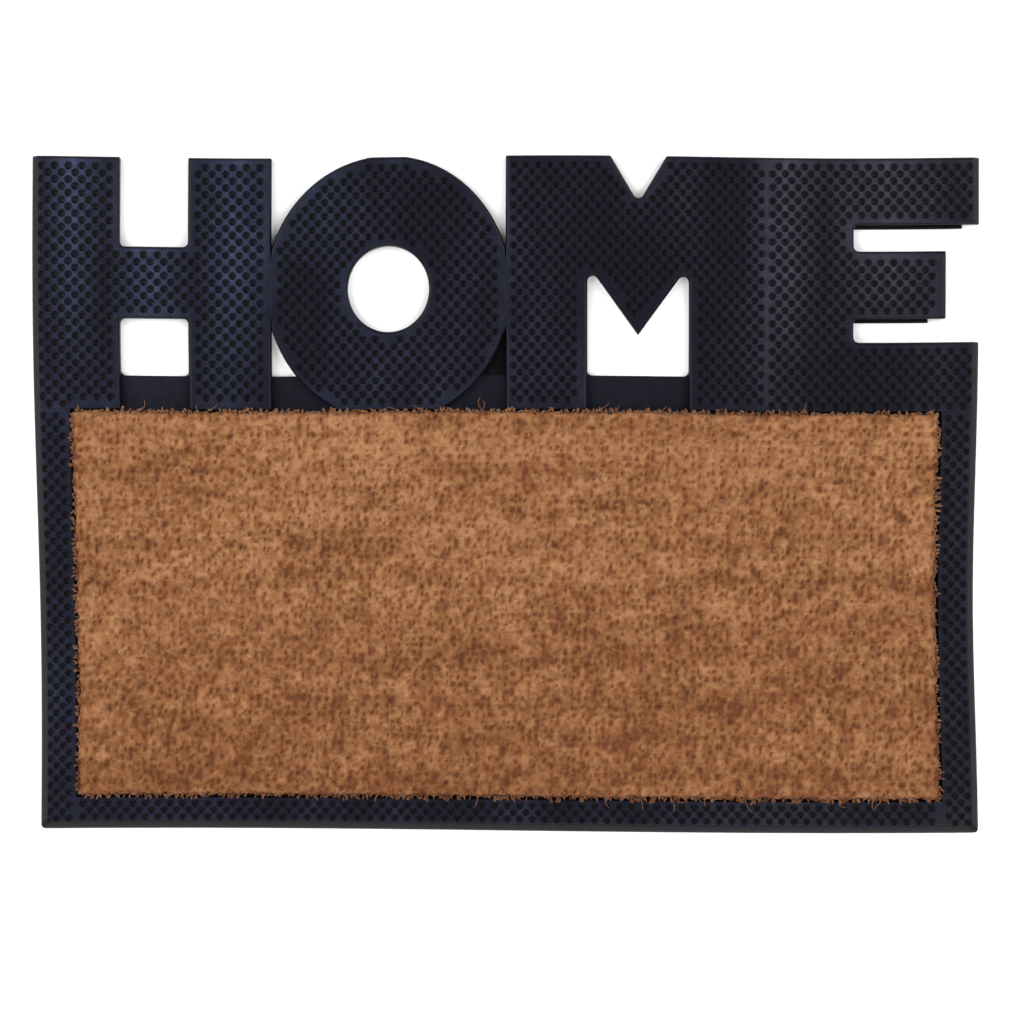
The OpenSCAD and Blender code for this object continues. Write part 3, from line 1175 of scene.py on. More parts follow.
@dataclass
class Surround:
    """The rubber surround: four letters, three borders and the sheet that carries them."""

    letters: tuple[TreadPiece, ...] = (
        TreadPiece("letter_h", (10.1 * MM, 10.1 * MM), (7.2 * MM, 7.2 * MM), seed=3),
        TreadPiece("letter_o", (9.3 * MM, 10.2 * MM), (7.0 * MM, 8.0 * MM), seed=5, has_skin=True),
        TreadPiece("letter_m", (8.9 * MM, 9.9 * MM), (6.0 * MM, 7.0 * MM), seed=7),
        TreadPiece("letter_e", (9.4 * MM, 10.1 * MM), (8.6 * MM, 6.9 * MM), seed=9, has_skin=True),
    )
    borders: tuple[TreadPiece, ...] = (
        TreadPiece("border_left", (9.3 * MM, 9.8 * MM), (7.6 * MM, 5.0 * MM), seed=11),
        TreadPiece("border_right", (9.3 * MM, 9.8 * MM), (5.0 * MM, 5.0 * MM), seed=13),
        TreadPiece("border_front", (9.3 * MM, 9.8 * MM), (4.5 * MM, 5.0 * MM), seed=15),
    )

    def base_sheet(self, shop: RubberShop) -> bpy.types.Object:
        """Builds the thin sheet under everything.

        Args:
            shop: the shared finishes and tools.

        Returns:
            The finished sheet.
        """
        shell = thin_plate("base_sheet", 0.0, SHEET_TOP, SHEET_TOP, 0.0)
        piece = new_piece("sheet_base", shop.mesh_of(shell, shop.smooth))
        return finish_rubber(piece, "base_sheet")

    def build(self) -> None:
        """Builds every rubber piece."""
        parts = [*self.letters, *self.borders]
        shop = RubberShop(tuple(p.node for p in parts))
        for part in parts:
            part.build(shop)
        self.base_sheet(shop)
        for tool in (shop.punch, shop.sheet):
            bpy.data.objects.remove(tool)


# ---------- Coir panel ----------


# the field that the random patterns are laid on, a little larger than the panel
FIELD_EDGE = Vector((30 * MM, 30 * MM, 0))
FIELD_LOW = COIR_LOW - FIELD_EDGE
FIELD_SIZE = COIR_HIGH - COIR_LOW + 2 * FIELD_EDGE


def smooth_noise(x: np.ndarray, y: np.ndarray, step_x: float, step_y: float, seed: int) -> np.ndarray:
    """Soft random hills over a plane, from -1 to 1.

    Args:
        x: places along X.
        y: places along Y.
        step_x: spacing of the hills along X.
        step_y: spacing of the hills along Y.
        seed: picks one pattern.

    Returns:
        The height at each place.
    """
    random = np.random.default_rng(seed)
    columns = int(FIELD_SIZE.x / step_x) + 3
    rows = int(FIELD_SIZE.y / step_y) + 3
    knots = random.uniform(-1, 1, (columns, rows))
    across, along = (x - FIELD_LOW.x) / step_x, (y - FIELD_LOW.y) / step_y
    i, j = across.astype(int), along.astype(int)
    a, b = across - i, along - j
    a, b = a * a * (3 - 2 * a), b * b * (3 - 2 * b)
    low = knots[i, j] * (1 - a) + knots[i + 1, j] * a
    high = knots[i, j + 1] * (1 - a) + knots[i + 1, j + 1] * a
    return low * (1 - b) + high * b


@dataclass(frozen=True)
class CoirWeave:
    """How the colour and the height of the coir change over the panel."""

    # the tone at the front edge, and how much lighter it is at the back
    front_tone: float = 0.49
    back_gain: float = 0.3
    row_depth: float = 29 * MM
    patch: float = 40 * MM
    clump_x: float = 2.4 * MM
    clump_y: float = 3.2 * MM
    pit_spacing: float = 5.6 * MM
    pit_radius: float = 1.1 * MM
    # a pit is this much longer along Y than along X
    pit_length: float = 1.5
    # share of the squares that hold a pit
    pit_share: float = 0.7
    # the fibre is redder near the panel's edge, over about this width
    red_edge: float = 5 * MM

    def clumps(self, x: np.ndarray, y: np.ndarray) -> np.ndarray:
        """How far the nap bunches up at places on the panel, from about -1 to 1."""
        coarse = smooth_noise(x, y, self.clump_x * 1.7, self.clump_y * 1.7, 47)
        return 0.6 * smooth_noise(x, y, self.clump_x, self.clump_y, 44) + 0.5 * coarse

    def pits(self, x: np.ndarray, y: np.ndarray) -> np.ndarray:
        """How deep in a pit of the nap each place lies.

        Args:
            x: places along X.
            y: places along Y.

        Returns:
            0 on the nap, up to 1 in the middle of a pit.
        """
        random = np.random.default_rng(46)
        columns = int(FIELD_SIZE.x / self.pit_spacing) + 2
        rows = int(FIELD_SIZE.y / self.pit_spacing) + 2
        # one pit wanders about in each square, and some of the squares have none
        middle = random.uniform(0.15, 0.85, (columns, rows, 2))
        size = random.uniform(0.75, 1.35, (columns, rows))
        size *= random.random((columns, rows)) < self.pit_share
        across, along = (x - FIELD_LOW.x) / self.pit_spacing, (y - FIELD_LOW.y) / self.pit_spacing
        i, j = across.astype(int), along.astype(int)
        to_x = (across - i - middle[i, j, 0]) * self.pit_spacing
        to_y = (along - j - middle[i, j, 1]) * self.pit_spacing / self.pit_length
        reach = self.pit_radius * size[i, j] + 1e-9
        return np.exp(-(to_x ** 2 + to_y ** 2) / reach ** 2)

    def tone(self, x: np.ndarray, y: np.ndarray) -> np.ndarray:
        """Lightness of the fibre at places on the panel, from about 0 to 1.

        Args:
            x: places along X.
            y: places along Y.

        Returns:
            The tone at each place.
        """
        share = (y - COIR_LOW.y) / (COIR_HIGH.y - COIR_LOW.y)
        result = self.front_tone + self.back_gain * share
        # bands along the rows: partly the fibre's own tone, partly painted shading of rows whose tufts lean
        # one way together
        bend = 0.9 * smooth_noise(x, y, 0.12, 0.08, 41)
        result += 0.05 * np.sin(2 * math.pi * y / self.row_depth + bend)
        result += 0.13 * smooth_noise(x, y, 0.11, 0.013, 42)
        result += 0.13 * smooth_noise(x, y, self.patch, self.patch * 0.6, 43)
        result += 0.2 * smooth_noise(x, y, 9 * MM, 7 * MM, 48)
        result += 0.52 * self.clumps(x, y)
        # painted shade: the pits are painted darker, over the real hollows that the lower ground and the
        # shorter strands give them
        return result - 0.78 * self.pits(x, y)

    def redness(self, x: np.ndarray, y: np.ndarray) -> np.ndarray:
        """How red the fibre is at places on the panel, from 0 to about 0.6.

        Args:
            x: places along X.
            y: places along Y.

        Returns:
            The redness at each place.
        """
        share = (y - COIR_LOW.y) / (COIR_HIGH.y - COIR_LOW.y)
        result = 0.16 + 0.1 * (1 - share) + 0.12 * smooth_noise(x, y, 0.05, 0.02, 45)
        result += 0.1 * smooth_noise(x, y, 7 * MM, 6 * MM, 49)
        to_side = np.minimum(x - COIR_LOW.x, COIR_HIGH.x - x)
        to_edge = np.minimum(to_side, np.minimum(y - COIR_LOW.y, COIR_HIGH.y - y))
        result += 0.16 * np.exp(-np.maximum(to_edge, 0) / self.red_edge)
        # painted shade: the pits are painted redder as well
        return result + 0.4 * self.pits(x, y)


WEAVE = CoirWeave()


@dataclass
class TuftMaker:
    """Makes the few tufts that the whole pile is grown from, each a bunch of thin bent prisms."""

    kinds: int = 8
    strands: int = 6
    length: float = 5.1 * MM
    thickness: float = 1.15 * MM
    spread: float = 1.15 * MM
    lean_degrees: float = 21.0
    seed: int = 17

    def strand(self, tuft: bmesh.types.BMesh, number: int, random: np.random.Generator, bent: bool) -> None:
        """Adds one strand to a tuft.

        Args:
            tuft: the tuft that it is added to.
            number: the strand's number in the tuft.
            random: where its random sizes come from.
            bent: whether it has a bend half way.
        """
        layer = tuft.verts.layers.float["strand_number"]
        turn = random.uniform(0, 2 * math.pi)
        root = Vector((random.uniform(-1, 1), random.uniform(-1, 1), 0)) * self.spread
        lean = math.radians(self.lean_degrees) * random.uniform(0.35, 1.25)
        length = self.length * random.uniform(0.8, 1.15)
        curl = random.uniform(-0.9, 0.9)
        steps = 2 if bent else 1
        path, here = [root.copy()], root.copy()
        for step in range(steps):
            now_lean = lean * (0.55 + 0.9 * step) if bent else lean
            now_turn = turn + curl * step
            way = Vector((math.cos(now_turn) * math.sin(now_lean), math.sin(now_turn) * math.sin(now_lean),
                          math.cos(now_lean)))
            here = here + way * length / steps
            path.append(here.copy())
        side = Vector((-math.sin(turn), math.cos(turn), 0))
        front = Vector((math.cos(turn), math.sin(turn), 0))
        rings = []
        for i, centre in enumerate(path):
            radius = self.thickness / 2 * (1.15 - 0.45 * i / steps)
            ring = []
            for k in range(3):
                angle = 2 * math.pi * k / 3 + 0.5
                way = side * math.cos(angle) + front * math.sin(angle)
                vert = tuft.verts.new(centre + way * radius)
                vert[layer] = number
                ring.append(vert)
            rings.append(ring)
        for lower, upper in zip(rings, rings[1:]):
            for k in range(3):
                n = (k + 1) % 3
                tuft.faces.new((lower[k], lower[n], upper[n], upper[k]))
        tuft.faces.new(reversed(rings[0]))
        tuft.faces.new(rings[-1])

    def tufts(self, material: bpy.types.Material) -> bpy.types.Collection:
        """Makes the tufts.

        Args:
            material: the fibre's finish.

        Returns:
            A collection of the tufts, which isn't linked to the scene.
        """
        shelf = bpy.data.collections.new("tuft_shelf")
        random = np.random.default_rng(self.seed)
        for kind in range(self.kinds):
            tuft = bmesh.new()
            tuft.verts.layers.float.new("strand_number")
            for number in range(self.strands):
                self.strand(tuft, number, random, bent=number % 2 == 0)
            bmesh.ops.recalc_face_normals(tuft, faces=tuft.faces)
            mesh = bpy.data.meshes.new(f"tuft_{kind}")
            tuft.to_mesh(mesh)
            tuft.free()
            mesh.materials.append(material)
            shelf.objects.link(bpy.data.objects.new(f"tuft_{kind}", mesh))
        return shelf


def pile_tree() -> bpy.types.NodeTree:
    """Builds the Geometry Nodes tree that grows leaning tufts on a flat bed.

    Returns:
        The tree.
    """
    tree = new_node_group("coir_pile_growth", {
        "Spacing": "NodeSocketFloat", "Lean": "NodeSocketFloat", "Edge Lean": "NodeSocketFloat",
        "Front Lean": "NodeSocketFloat", "Edge Width": "NodeSocketFloat", "Shortest": "NodeSocketFloat",
        "Tallest": "NodeSocketFloat", "Tufts": "NodeSocketCollection", "Material": "NodeSocketMaterial",
        "Seed": "NodeSocketInt"})
    graph = Graph(tree)
    given = graph.add("NodeGroupInput").outputs
    bed, seed = given["Geometry"], given["Seed"]
    # no two tufts stand nearer than the spacing, and the bed is as full as that allows
    spread = graph.add("GeometryNodeDistributePointsOnFaces", {
        "Mesh": bed, "Distance Min": given["Spacing"], "Density Max": 1e6, "Seed": seed},
        distribute_method="POISSON")
    here = graph.add("GeometryNodeInputPosition").outputs[0]
    nearest = graph.add("GeometryNodeProximity", {0: graph.rim(bed)}, target_element="EDGES").outputs
    outward = graph.add("ShaderNodeVectorMath", {
        0: graph.vector_math("SUBTRACT", nearest["Position"], here)}, operation="NORMALIZE").outputs[0]
    near_edge = graph.math("SUBTRACT", 1.0, graph.math("DIVIDE", nearest["Distance"], given["Edge Width"]))
    near_edge = graph.math("MAXIMUM", near_edge, 0.0)
    # the front edge is trodden outwards more than the others
    in_front = graph.math("LESS_THAN", graph.add("ShaderNodeSeparateXYZ", {0: outward}).outputs["Y"], -0.5)
    more = graph.math("MULTIPLY", in_front, graph.math("SUBTRACT", given["Front Lean"], given["Edge Lean"]))
    pull = graph.math("MULTIPLY", near_edge, graph.math("ADD", given["Edge Lean"], more))
    # every tuft leans its own way, and neighbours drift the same way together
    any_way = graph.add("FunctionNodeRandomValue", {
        0: (-1.0, -1.0, 0.0), 1: (1.0, 1.0, 0.0), "Seed": seed}, data_type="FLOAT_VECTOR").outputs[0]
    drift = graph.add("ShaderNodeTexNoise", {"Vector": here, "Scale": 70.0, "Detail": 1.0}).outputs["Color"]
    drift = graph.vector_math("SUBTRACT", drift, (0.5, 0.5, 0.5))
    drift = graph.vector_math("MULTIPLY", drift, (2.5, 2.5, 0.0))
    lean = graph.add("ShaderNodeVectorMath", {
        0: graph.vector_math("ADD", any_way, drift), "Scale": given["Lean"]}, operation="SCALE").outputs[0]
    out = graph.add("ShaderNodeVectorMath", {0: outward, "Scale": pull}, operation="SCALE").outputs[0]
    up = graph.vector_math("ADD", graph.vector_math("ADD", lean, out), (0.0, 0.0, 1.0))
    stand = graph.add("FunctionNodeAlignRotationToVector", {"Vector": up}, axis="Z").outputs[0]
    turn = graph.random(0.0, 2 * math.pi, graph.math("ADD", seed, 1.0))
    spin = graph.add("FunctionNodeAxisAngleToRotation", {"Axis": (0.0, 0.0, 1.0), "Angle": turn}).outputs[0]
    stand = graph.add("FunctionNodeRotateRotation", {
        "Rotation": stand, "Rotate By": spin}, rotation_space="LOCAL").outputs[0]
    growth = graph.random(given["Shortest"], given["Tallest"], graph.math("ADD", seed, 2.0))
    tufts = graph.add("GeometryNodeCollectionInfo", {
        "Collection": given["Tufts"], "Separate Children": True, "Reset Children": True}).outputs[0]
    kind = graph.add("FunctionNodeRandomValue", {
        4: 0, 5: 1000, "Seed": graph.math("ADD", seed, 3.0)}, data_type="INT").outputs[2]
    grown = graph.add("GeometryNodeInstanceOnPoints", {
        "Points": spread.outputs["Points"], "Instance": tufts, "Pick Instance": True, "Instance Index": kind,
        "Rotation": stand, "Scale": growth}).outputs[0]
    marked = graph.add("GeometryNodeStoreNamedAttribute", {
        "Geometry": grown, "Name": "tuft_number", "Value": graph.add("GeometryNodeInputIndex").outputs[0]},
        data_type="FLOAT", domain="INSTANCE").outputs[0]
    graph.end_geometry(marked, given["Material"])
    return tree


@dataclass
class Layer:
    """A closed flat layer of the panel, with a bumpy top and an uneven outline."""

    name: str
    low: Vector
    # the highest corner, at the mean height of the top
    high: Vector
    step: float
    # how far the top rises and falls, and how far the outline wanders inwards
    relief: float
    edge: float
    seed: int
    # a woven layer takes the weave's pits, tone and redness, and falls away at its edge
    woven: bool = False
    pit_depth: float = 1.8 * MM
    edge_drop: float = 3.0 * MM
    edge_round: float = 1.3 * MM
    furthest_out: float = 0.7 * MM
    edge_reach: float = 2 * MM

    def grid(self) -> tuple[np.ndarray, np.ndarray]:
        """Even places over the layer, as two arrays of one row for each step along X."""
        columns = int((self.high.x - self.low.x) / self.step) + 1
        rows = int((self.high.y - self.low.y) / self.step) + 1
        across = np.linspace(self.low.x, self.high.x, columns)
        return tuple(np.meshgrid(across, np.linspace(self.low.y, self.high.y, rows), indexing="ij"))

    def top(self, x: np.ndarray, y: np.ndarray) -> np.ndarray:
        """Shapes the top.

        Args:
            x: places along X.
            y: places along Y.

        Returns:
            The moved places, as rows of x, y and z.
        """
        low, high, seed = self.low, self.high, self.seed
        bumps = smooth_noise(x, y, 3.4 * MM, 3.0 * MM, seed)
        bumps = bumps + 0.6 * smooth_noise(x, y, 1.7 * MM, 1.6 * MM, seed + 1)
        height = high.z + self.relief * bumps / 1.6
        to_side = np.minimum(x - low.x, high.x - x)
        to_end = np.minimum(y - low.y, high.y - y)
        if self.woven:
            height -= self.pit_depth * WEAVE.pits(x, y)
            height -= self.edge_drop * np.exp(-np.minimum(to_side, to_end) / self.edge_round)
        pull = self.edge * (0.15 + 0.5 * smooth_noise(x, y, 6 * MM, 6 * MM, seed + 2)
                            + 0.45 * smooth_noise(x, y, 2.4 * MM, 2.4 * MM, seed + 3))
        pull = np.maximum(pull, -self.furthest_out if self.woven else 0.0)
        moved_x = x - np.sign(x - (low.x + high.x) / 2) * pull * np.exp(-to_side / self.edge_reach)
        moved_y = y - np.sign(y - (low.y + high.y) / 2) * pull * np.exp(-to_end / self.edge_reach)
        return np.column_stack([moved_x, moved_y, height])

    def build(self) -> bpy.types.Object:
        """Builds the layer.

        Returns:
            The layer, in place.
        """
        x, y = self.grid()
        index = np.arange(x.size).reshape(x.shape)
        cell = (index[:-1, :-1], index[1:, :-1], index[1:, 1:], index[:-1, 1:])
        faces = np.stack([corner.ravel() for corner in cell], axis=1).tolist()
        sides = (index[:, 0], index[-1, 1:], index[-2::-1, -1], index[0, -2:0:-1])
        rim = np.concatenate(sides).tolist()
        # only the points of the rim have one below them, on the floor of the layer
        above = sorted(rim)
        foot = {point: x.size + number for number, point in enumerate(above)}
        faces += [(b, a, foot[a], foot[b]) for a, b in zip(rim, rim[1:] + rim[:1])]
        faces.append([foot[point] for point in reversed(rim)])
        x, y = x.ravel(), y.ravel()
        upper = self.top(x, y)
        lower = upper[above]
        lower[:, 2] = self.low.z
        mesh = bpy.data.meshes.new(self.name)
        mesh.from_pydata(np.vstack([upper, lower]).tolist(), [], faces)
        mesh.shade_smooth()
        if self.woven:
            for name, values in ((TONE, WEAVE.tone(x, y)), (REDNESS, WEAVE.redness(x, y))):
                every = np.concatenate([values, values[above]]).astype(np.float32)
                mesh.attributes.new(name, "FLOAT", "POINT").data.foreach_set("value", every)
        WANDER.apply(mesh)
        return new_piece(self.name, mesh)


@dataclass
class GrownPile:
    """The whole pile as arrays, with a height, a tone, a redness and a row for every strand."""

    pile: bpy.types.Mesh
    root_z: float
    rows: int
    seed: int
    # how far single strands stray from the weave's tone and redness
    tone_spread: float = 0.02
    red_spread: float = 0.03
    # share of the strands that are bleached, and how much lighter those are
    bleached: float = 0.025
    bleaching: float = 0.5
    # the nap is lower in the pits and higher where it bunches up, and no strand stands in a pit's middle
    bunch_growth: float = 0.08
    pit_growth: float = 0.3
    bare_pit: float = 0.4

    def __post_init__(self) -> None:
        """Reads the pile and dresses its strands."""
        self.corner = np.empty(len(self.pile.loops), np.int32)
        self.pile.loops.foreach_get("vertex_index", self.corner)
        self.sizes = np.empty(len(self.pile.polygons), np.int32)
        self.pile.polygons.foreach_get("loop_total", self.sizes)
        self.strand = self.numbers()
        first_corner = np.concatenate([[0], np.cumsum(self.sizes)[:-1]])
        self.face_strand = self.strand[self.corner[first_corner]]
        points = coordinates(self.pile)
        # where a strand's tip lies settles its colour, its height and its row
        x, y = self.tips(points)
        random = np.random.default_rng(self.seed)
        self.tone = WEAVE.tone(x, y) + random.normal(0, self.tone_spread, len(x))
        self.red = WEAVE.redness(x, y) + random.normal(0, self.red_spread, len(x))
        self.tone += self.bleaching * (random.random(len(x)) < self.bleached)
        pits = WEAVE.pits(x, y)
        growth = 1 + self.bunch_growth * WEAVE.clumps(x, y) - self.pit_growth * pits
        points[:, 2] = self.root_z + (points[:, 2] - self.root_z) * growth[self.strand]
        self.points = WANDER.moved(points)
        self.row = np.empty(len(y), int)
        self.row[np.argsort(y, kind="stable")] = np.arange(len(y)) * self.rows // len(y)
        self.row[pits > self.bare_pit] = -1

    def numbers(self) -> np.ndarray:
        """Numbers the strands.

        Returns:
            The number of the strand that each vertex belongs to, from 0.
        """
        tuft = np.empty(len(self.pile.vertices), np.float32)
        strand = np.empty(len(self.pile.vertices), np.float32)
        self.pile.attributes["tuft_number"].data.foreach_get("value", tuft)
        self.pile.attributes["strand_number"].data.foreach_get("value", strand)
        key = np.rint(tuft).astype(np.int64) * 64 + np.rint(strand).astype(np.int64)
        return np.unique(key, return_inverse=True)[1].ravel()

    def tips(self, points: np.ndarray) -> tuple[np.ndarray, np.ndarray]:
        """Finds where the strands' tips lie.

        Args:
            points: the pile's vertices.

        Returns:
            X and Y of each strand's highest part.
        """
        weight = np.maximum(points[:, 2] - self.root_z, 0) ** 3 + 1e-12
        share = np.bincount(self.strand, weight)
        tip_x = np.bincount(self.strand, points[:, 0] * weight) / share
        return tip_x, np.bincount(self.strand, points[:, 1] * weight) / share

    def row_mesh(self, number: int, cells: int) -> tuple[bpy.types.Mesh, int]:
        """Makes a mesh of one row of strands.

        Args:
            number: the row's number, from the front.
            cells: how many strands the texture map holds along one side.

        Returns:
            The mesh, and how many strands it has.
        """
        vertex_in = self.row[self.strand] == number
        face_in = self.row[self.face_strand] == number
        renumber = np.cumsum(vertex_in) - 1
        corner = renumber[self.corner[np.repeat(face_in, self.sizes)]]
        sizes = self.sizes[face_in]
        starts = np.concatenate([[0], np.cumsum(sizes)[:-1]])
        mesh = bpy.data.meshes.new("coir")
        mesh.vertices.add(int(vertex_in.sum()))
        mesh.vertices.foreach_set("co", self.points[vertex_in].astype(np.float32).ravel())
        mesh.loops.add(len(corner))
        mesh.loops.foreach_set("vertex_index", corner.astype(np.int32))
        mesh.polygons.add(len(sizes))
        mesh.polygons.foreach_set("loop_start", starts.astype(np.int32))
        mesh.update(calc_edges=True)
        mesh.validate()
        strand = self.strand[vertex_in]
        for name, values in ((TONE, self.tone), (REDNESS, self.red)):
            layer = mesh.attributes.new(name, "FLOAT", "POINT")
            layer.data.foreach_set("value", np.clip(values[strand], 0, 1).astype(np.float32))
        # each strand has one small square of the map to itself
        own_number = np.unique(strand, return_inverse=True)[1].ravel()
        square = own_number[corner]
        in_face = np.arange(len(corner)) - np.repeat(starts, sizes)
        offset = np.array(SQUARE)[in_face % len(SQUARE)]
        places = (np.column_stack([square % cells, square // cells]) + offset) / cells
        mesh.uv_layers.new(name=MAP_LAYER).data.foreach_set("uv", places.astype(np.float32).ravel())
        return mesh, own_number.max() + 1


@dataclass
class CoirPanel:
    """The coir panel: the bond, the backing, the nap that the fibres stand in and the fibres themselves."""

    spacing: float = 2.42 * MM
    root_z: float = COIR_HIGH.z - 5.2 * MM
    ground_z: float = COIR_HIGH.z - 1.1 * MM
    # how far the roots stop short of the panel's left, right, front and back edges
    insets: tuple[float, float, float, float] = (0.8 * MM, 1.7 * MM, 1.5 * MM, 0.8 * MM)
    corner: float = 6.0 * MM
    lean: float = 0.22
    edge_lean: float = 0.22
    front_lean: float = 0.4
    edge_width: float = 5 * MM
    shortest: float = 0.82
    tallest: float = 1.08
    rows: int = 7
    cells: int = 128
    seed: int = 23
    pieces: list[bpy.types.Object] = field(default_factory=list)

    def sides(self) -> tuple[float, float, float, float]:
        """Left, right, front and back side of the part of the panel that the fibres stand on."""
        left, right, front, back = self.insets
        return COIR_LOW.x + left, COIR_HIGH.x - right, COIR_LOW.y + front, COIR_HIGH.y - back

    def layers(self) -> None:
        """Builds the bond, the backing and the nap that the fibres stand in."""
        film_low, film_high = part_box("adhesive_film")
        flush = Vector((0, 0, 0.02 * MM))
        glue = GroundFinish("bond", linear(150, 140, 112), linear(196, 188, 160), 260.0)
        felt = GroundFinish("backing", linear(36, 27, 21), linear(74, 57, 44), 500.0, (1.0, 0.35, 1.0))
        nap = CoirFinish("coir_nap", streaks=0.19)
        film = Layer("bond_film", film_low, film_high - 2 * flush, step=9 * MM, relief=0.02 * MM,
                     edge=0.4 * MM, seed=51)
        sheet = Layer("backing_sheet", BACKING_LOW, BACKING_HIGH - flush, step=6 * MM, relief=0.02 * MM,
                      edge=0.3 * MM, seed=61)
        left, right, front, back = self.sides()
        low, high = Vector((left, front, COIR_LOW.z)), Vector((right, back, self.ground_z))
        ground = Layer("pile_ground", low, high, step=1.6 * MM, relief=0.5 * MM, edge=1.9 * MM,
                       seed=71, woven=True)
        for layer, finish, slot, node in (
            (film, glue, "adhesive", "adhesive_film"),
            (sheet, felt, "backing", "coir_backing"),
            (ground, nap, "coir", "coir_pile"),
        ):
            piece = layer.build()
            piece.data.materials.append(finish.material())
            declare(piece, node)
            self.pieces.append(piece)
            LOG.info("%s: %d faces", piece.name, len(piece.data.polygons))

    def bed(self) -> bpy.types.Object:
        """Makes the flat bed that the tufts grow on.

        Returns:
            The bed, one face with round corners.
        """
        left, right, front, back = self.sides()
        low_x, high_x = left + self.corner, right - self.corner
        low_y, high_y = front + self.corner, back - self.corner
        middles = ((high_x, high_y), (low_x, high_y), (low_x, low_y), (high_x, low_y))
        corners = []
        for quarter, (x, y) in enumerate(middles):
            for part in range(5):
                turn = math.pi / 2 * (quarter + part / 4)
                corners.append((x + self.corner * math.cos(turn), y + self.corner * math.sin(turn)))
        mesh = bpy.data.meshes.new("bed")
        mesh.from_pydata([(x, y, self.root_z) for x, y in corners], [], [tuple(range(len(corners)))])
        return new_piece("bed", mesh)

    def grow(self, fibre: bpy.types.Material) -> bpy.types.Mesh:
        """Grows the whole pile as one mesh.

        Args:
            fibre: the fibre's finish.

        Returns:
            The mesh, in the true mat's place.
        """
        bed = self.bed()
        shelf = TuftMaker().tufts(fibre)
        growth = bed.modifiers.new("growth", "NODES")
        growth.node_group = pile_tree()
        set_inputs(growth, {
            "Spacing": self.spacing, "Lean": self.lean, "Edge Lean": self.edge_lean,
            "Front Lean": self.front_lean, "Edge Width": self.edge_width, "Shortest": self.shortest,
            "Tallest": self.tallest, "Tufts": shelf, "Material": fibre, "Seed": self.seed})
        settle_modifiers(bed)
        mesh = bed.data
        bpy.data.objects.remove(bed)
        for tuft in list(shelf.objects):
            bpy.data.objects.remove(tuft)
        bpy.data.collections.remove(shelf)
        return mesh

    def fibres(self, fibre: bpy.types.Material) -> None:
        """Grows the pile and divides it into rows of strands, each a piece.

        Args:
            fibre: the fibre's finish.
        """
        mesh = self.grow(fibre)
        pile = GrownPile(mesh, self.root_z, self.rows, self.seed)
        for number in range(self.rows):
            row, strands = pile.row_mesh(number, self.cells)
            row.materials.append(fibre)
            piece = new_piece(f"coir_fibres_{number + 1}", row)
            declare(piece, "coir_pile")
            self.pieces.append(piece)
            LOG.info("%s: %d strands, %d faces", piece.name, strands, len(row.polygons))
        bpy.data.meshes.remove(mesh)

    def build(self) -> None:
        """Builds the whole panel."""
        self.layers()
        fibre = CoirFinish().material()
        self.fibres(fibre)
        self.pieces.append(StrayFibres().build(fibre))


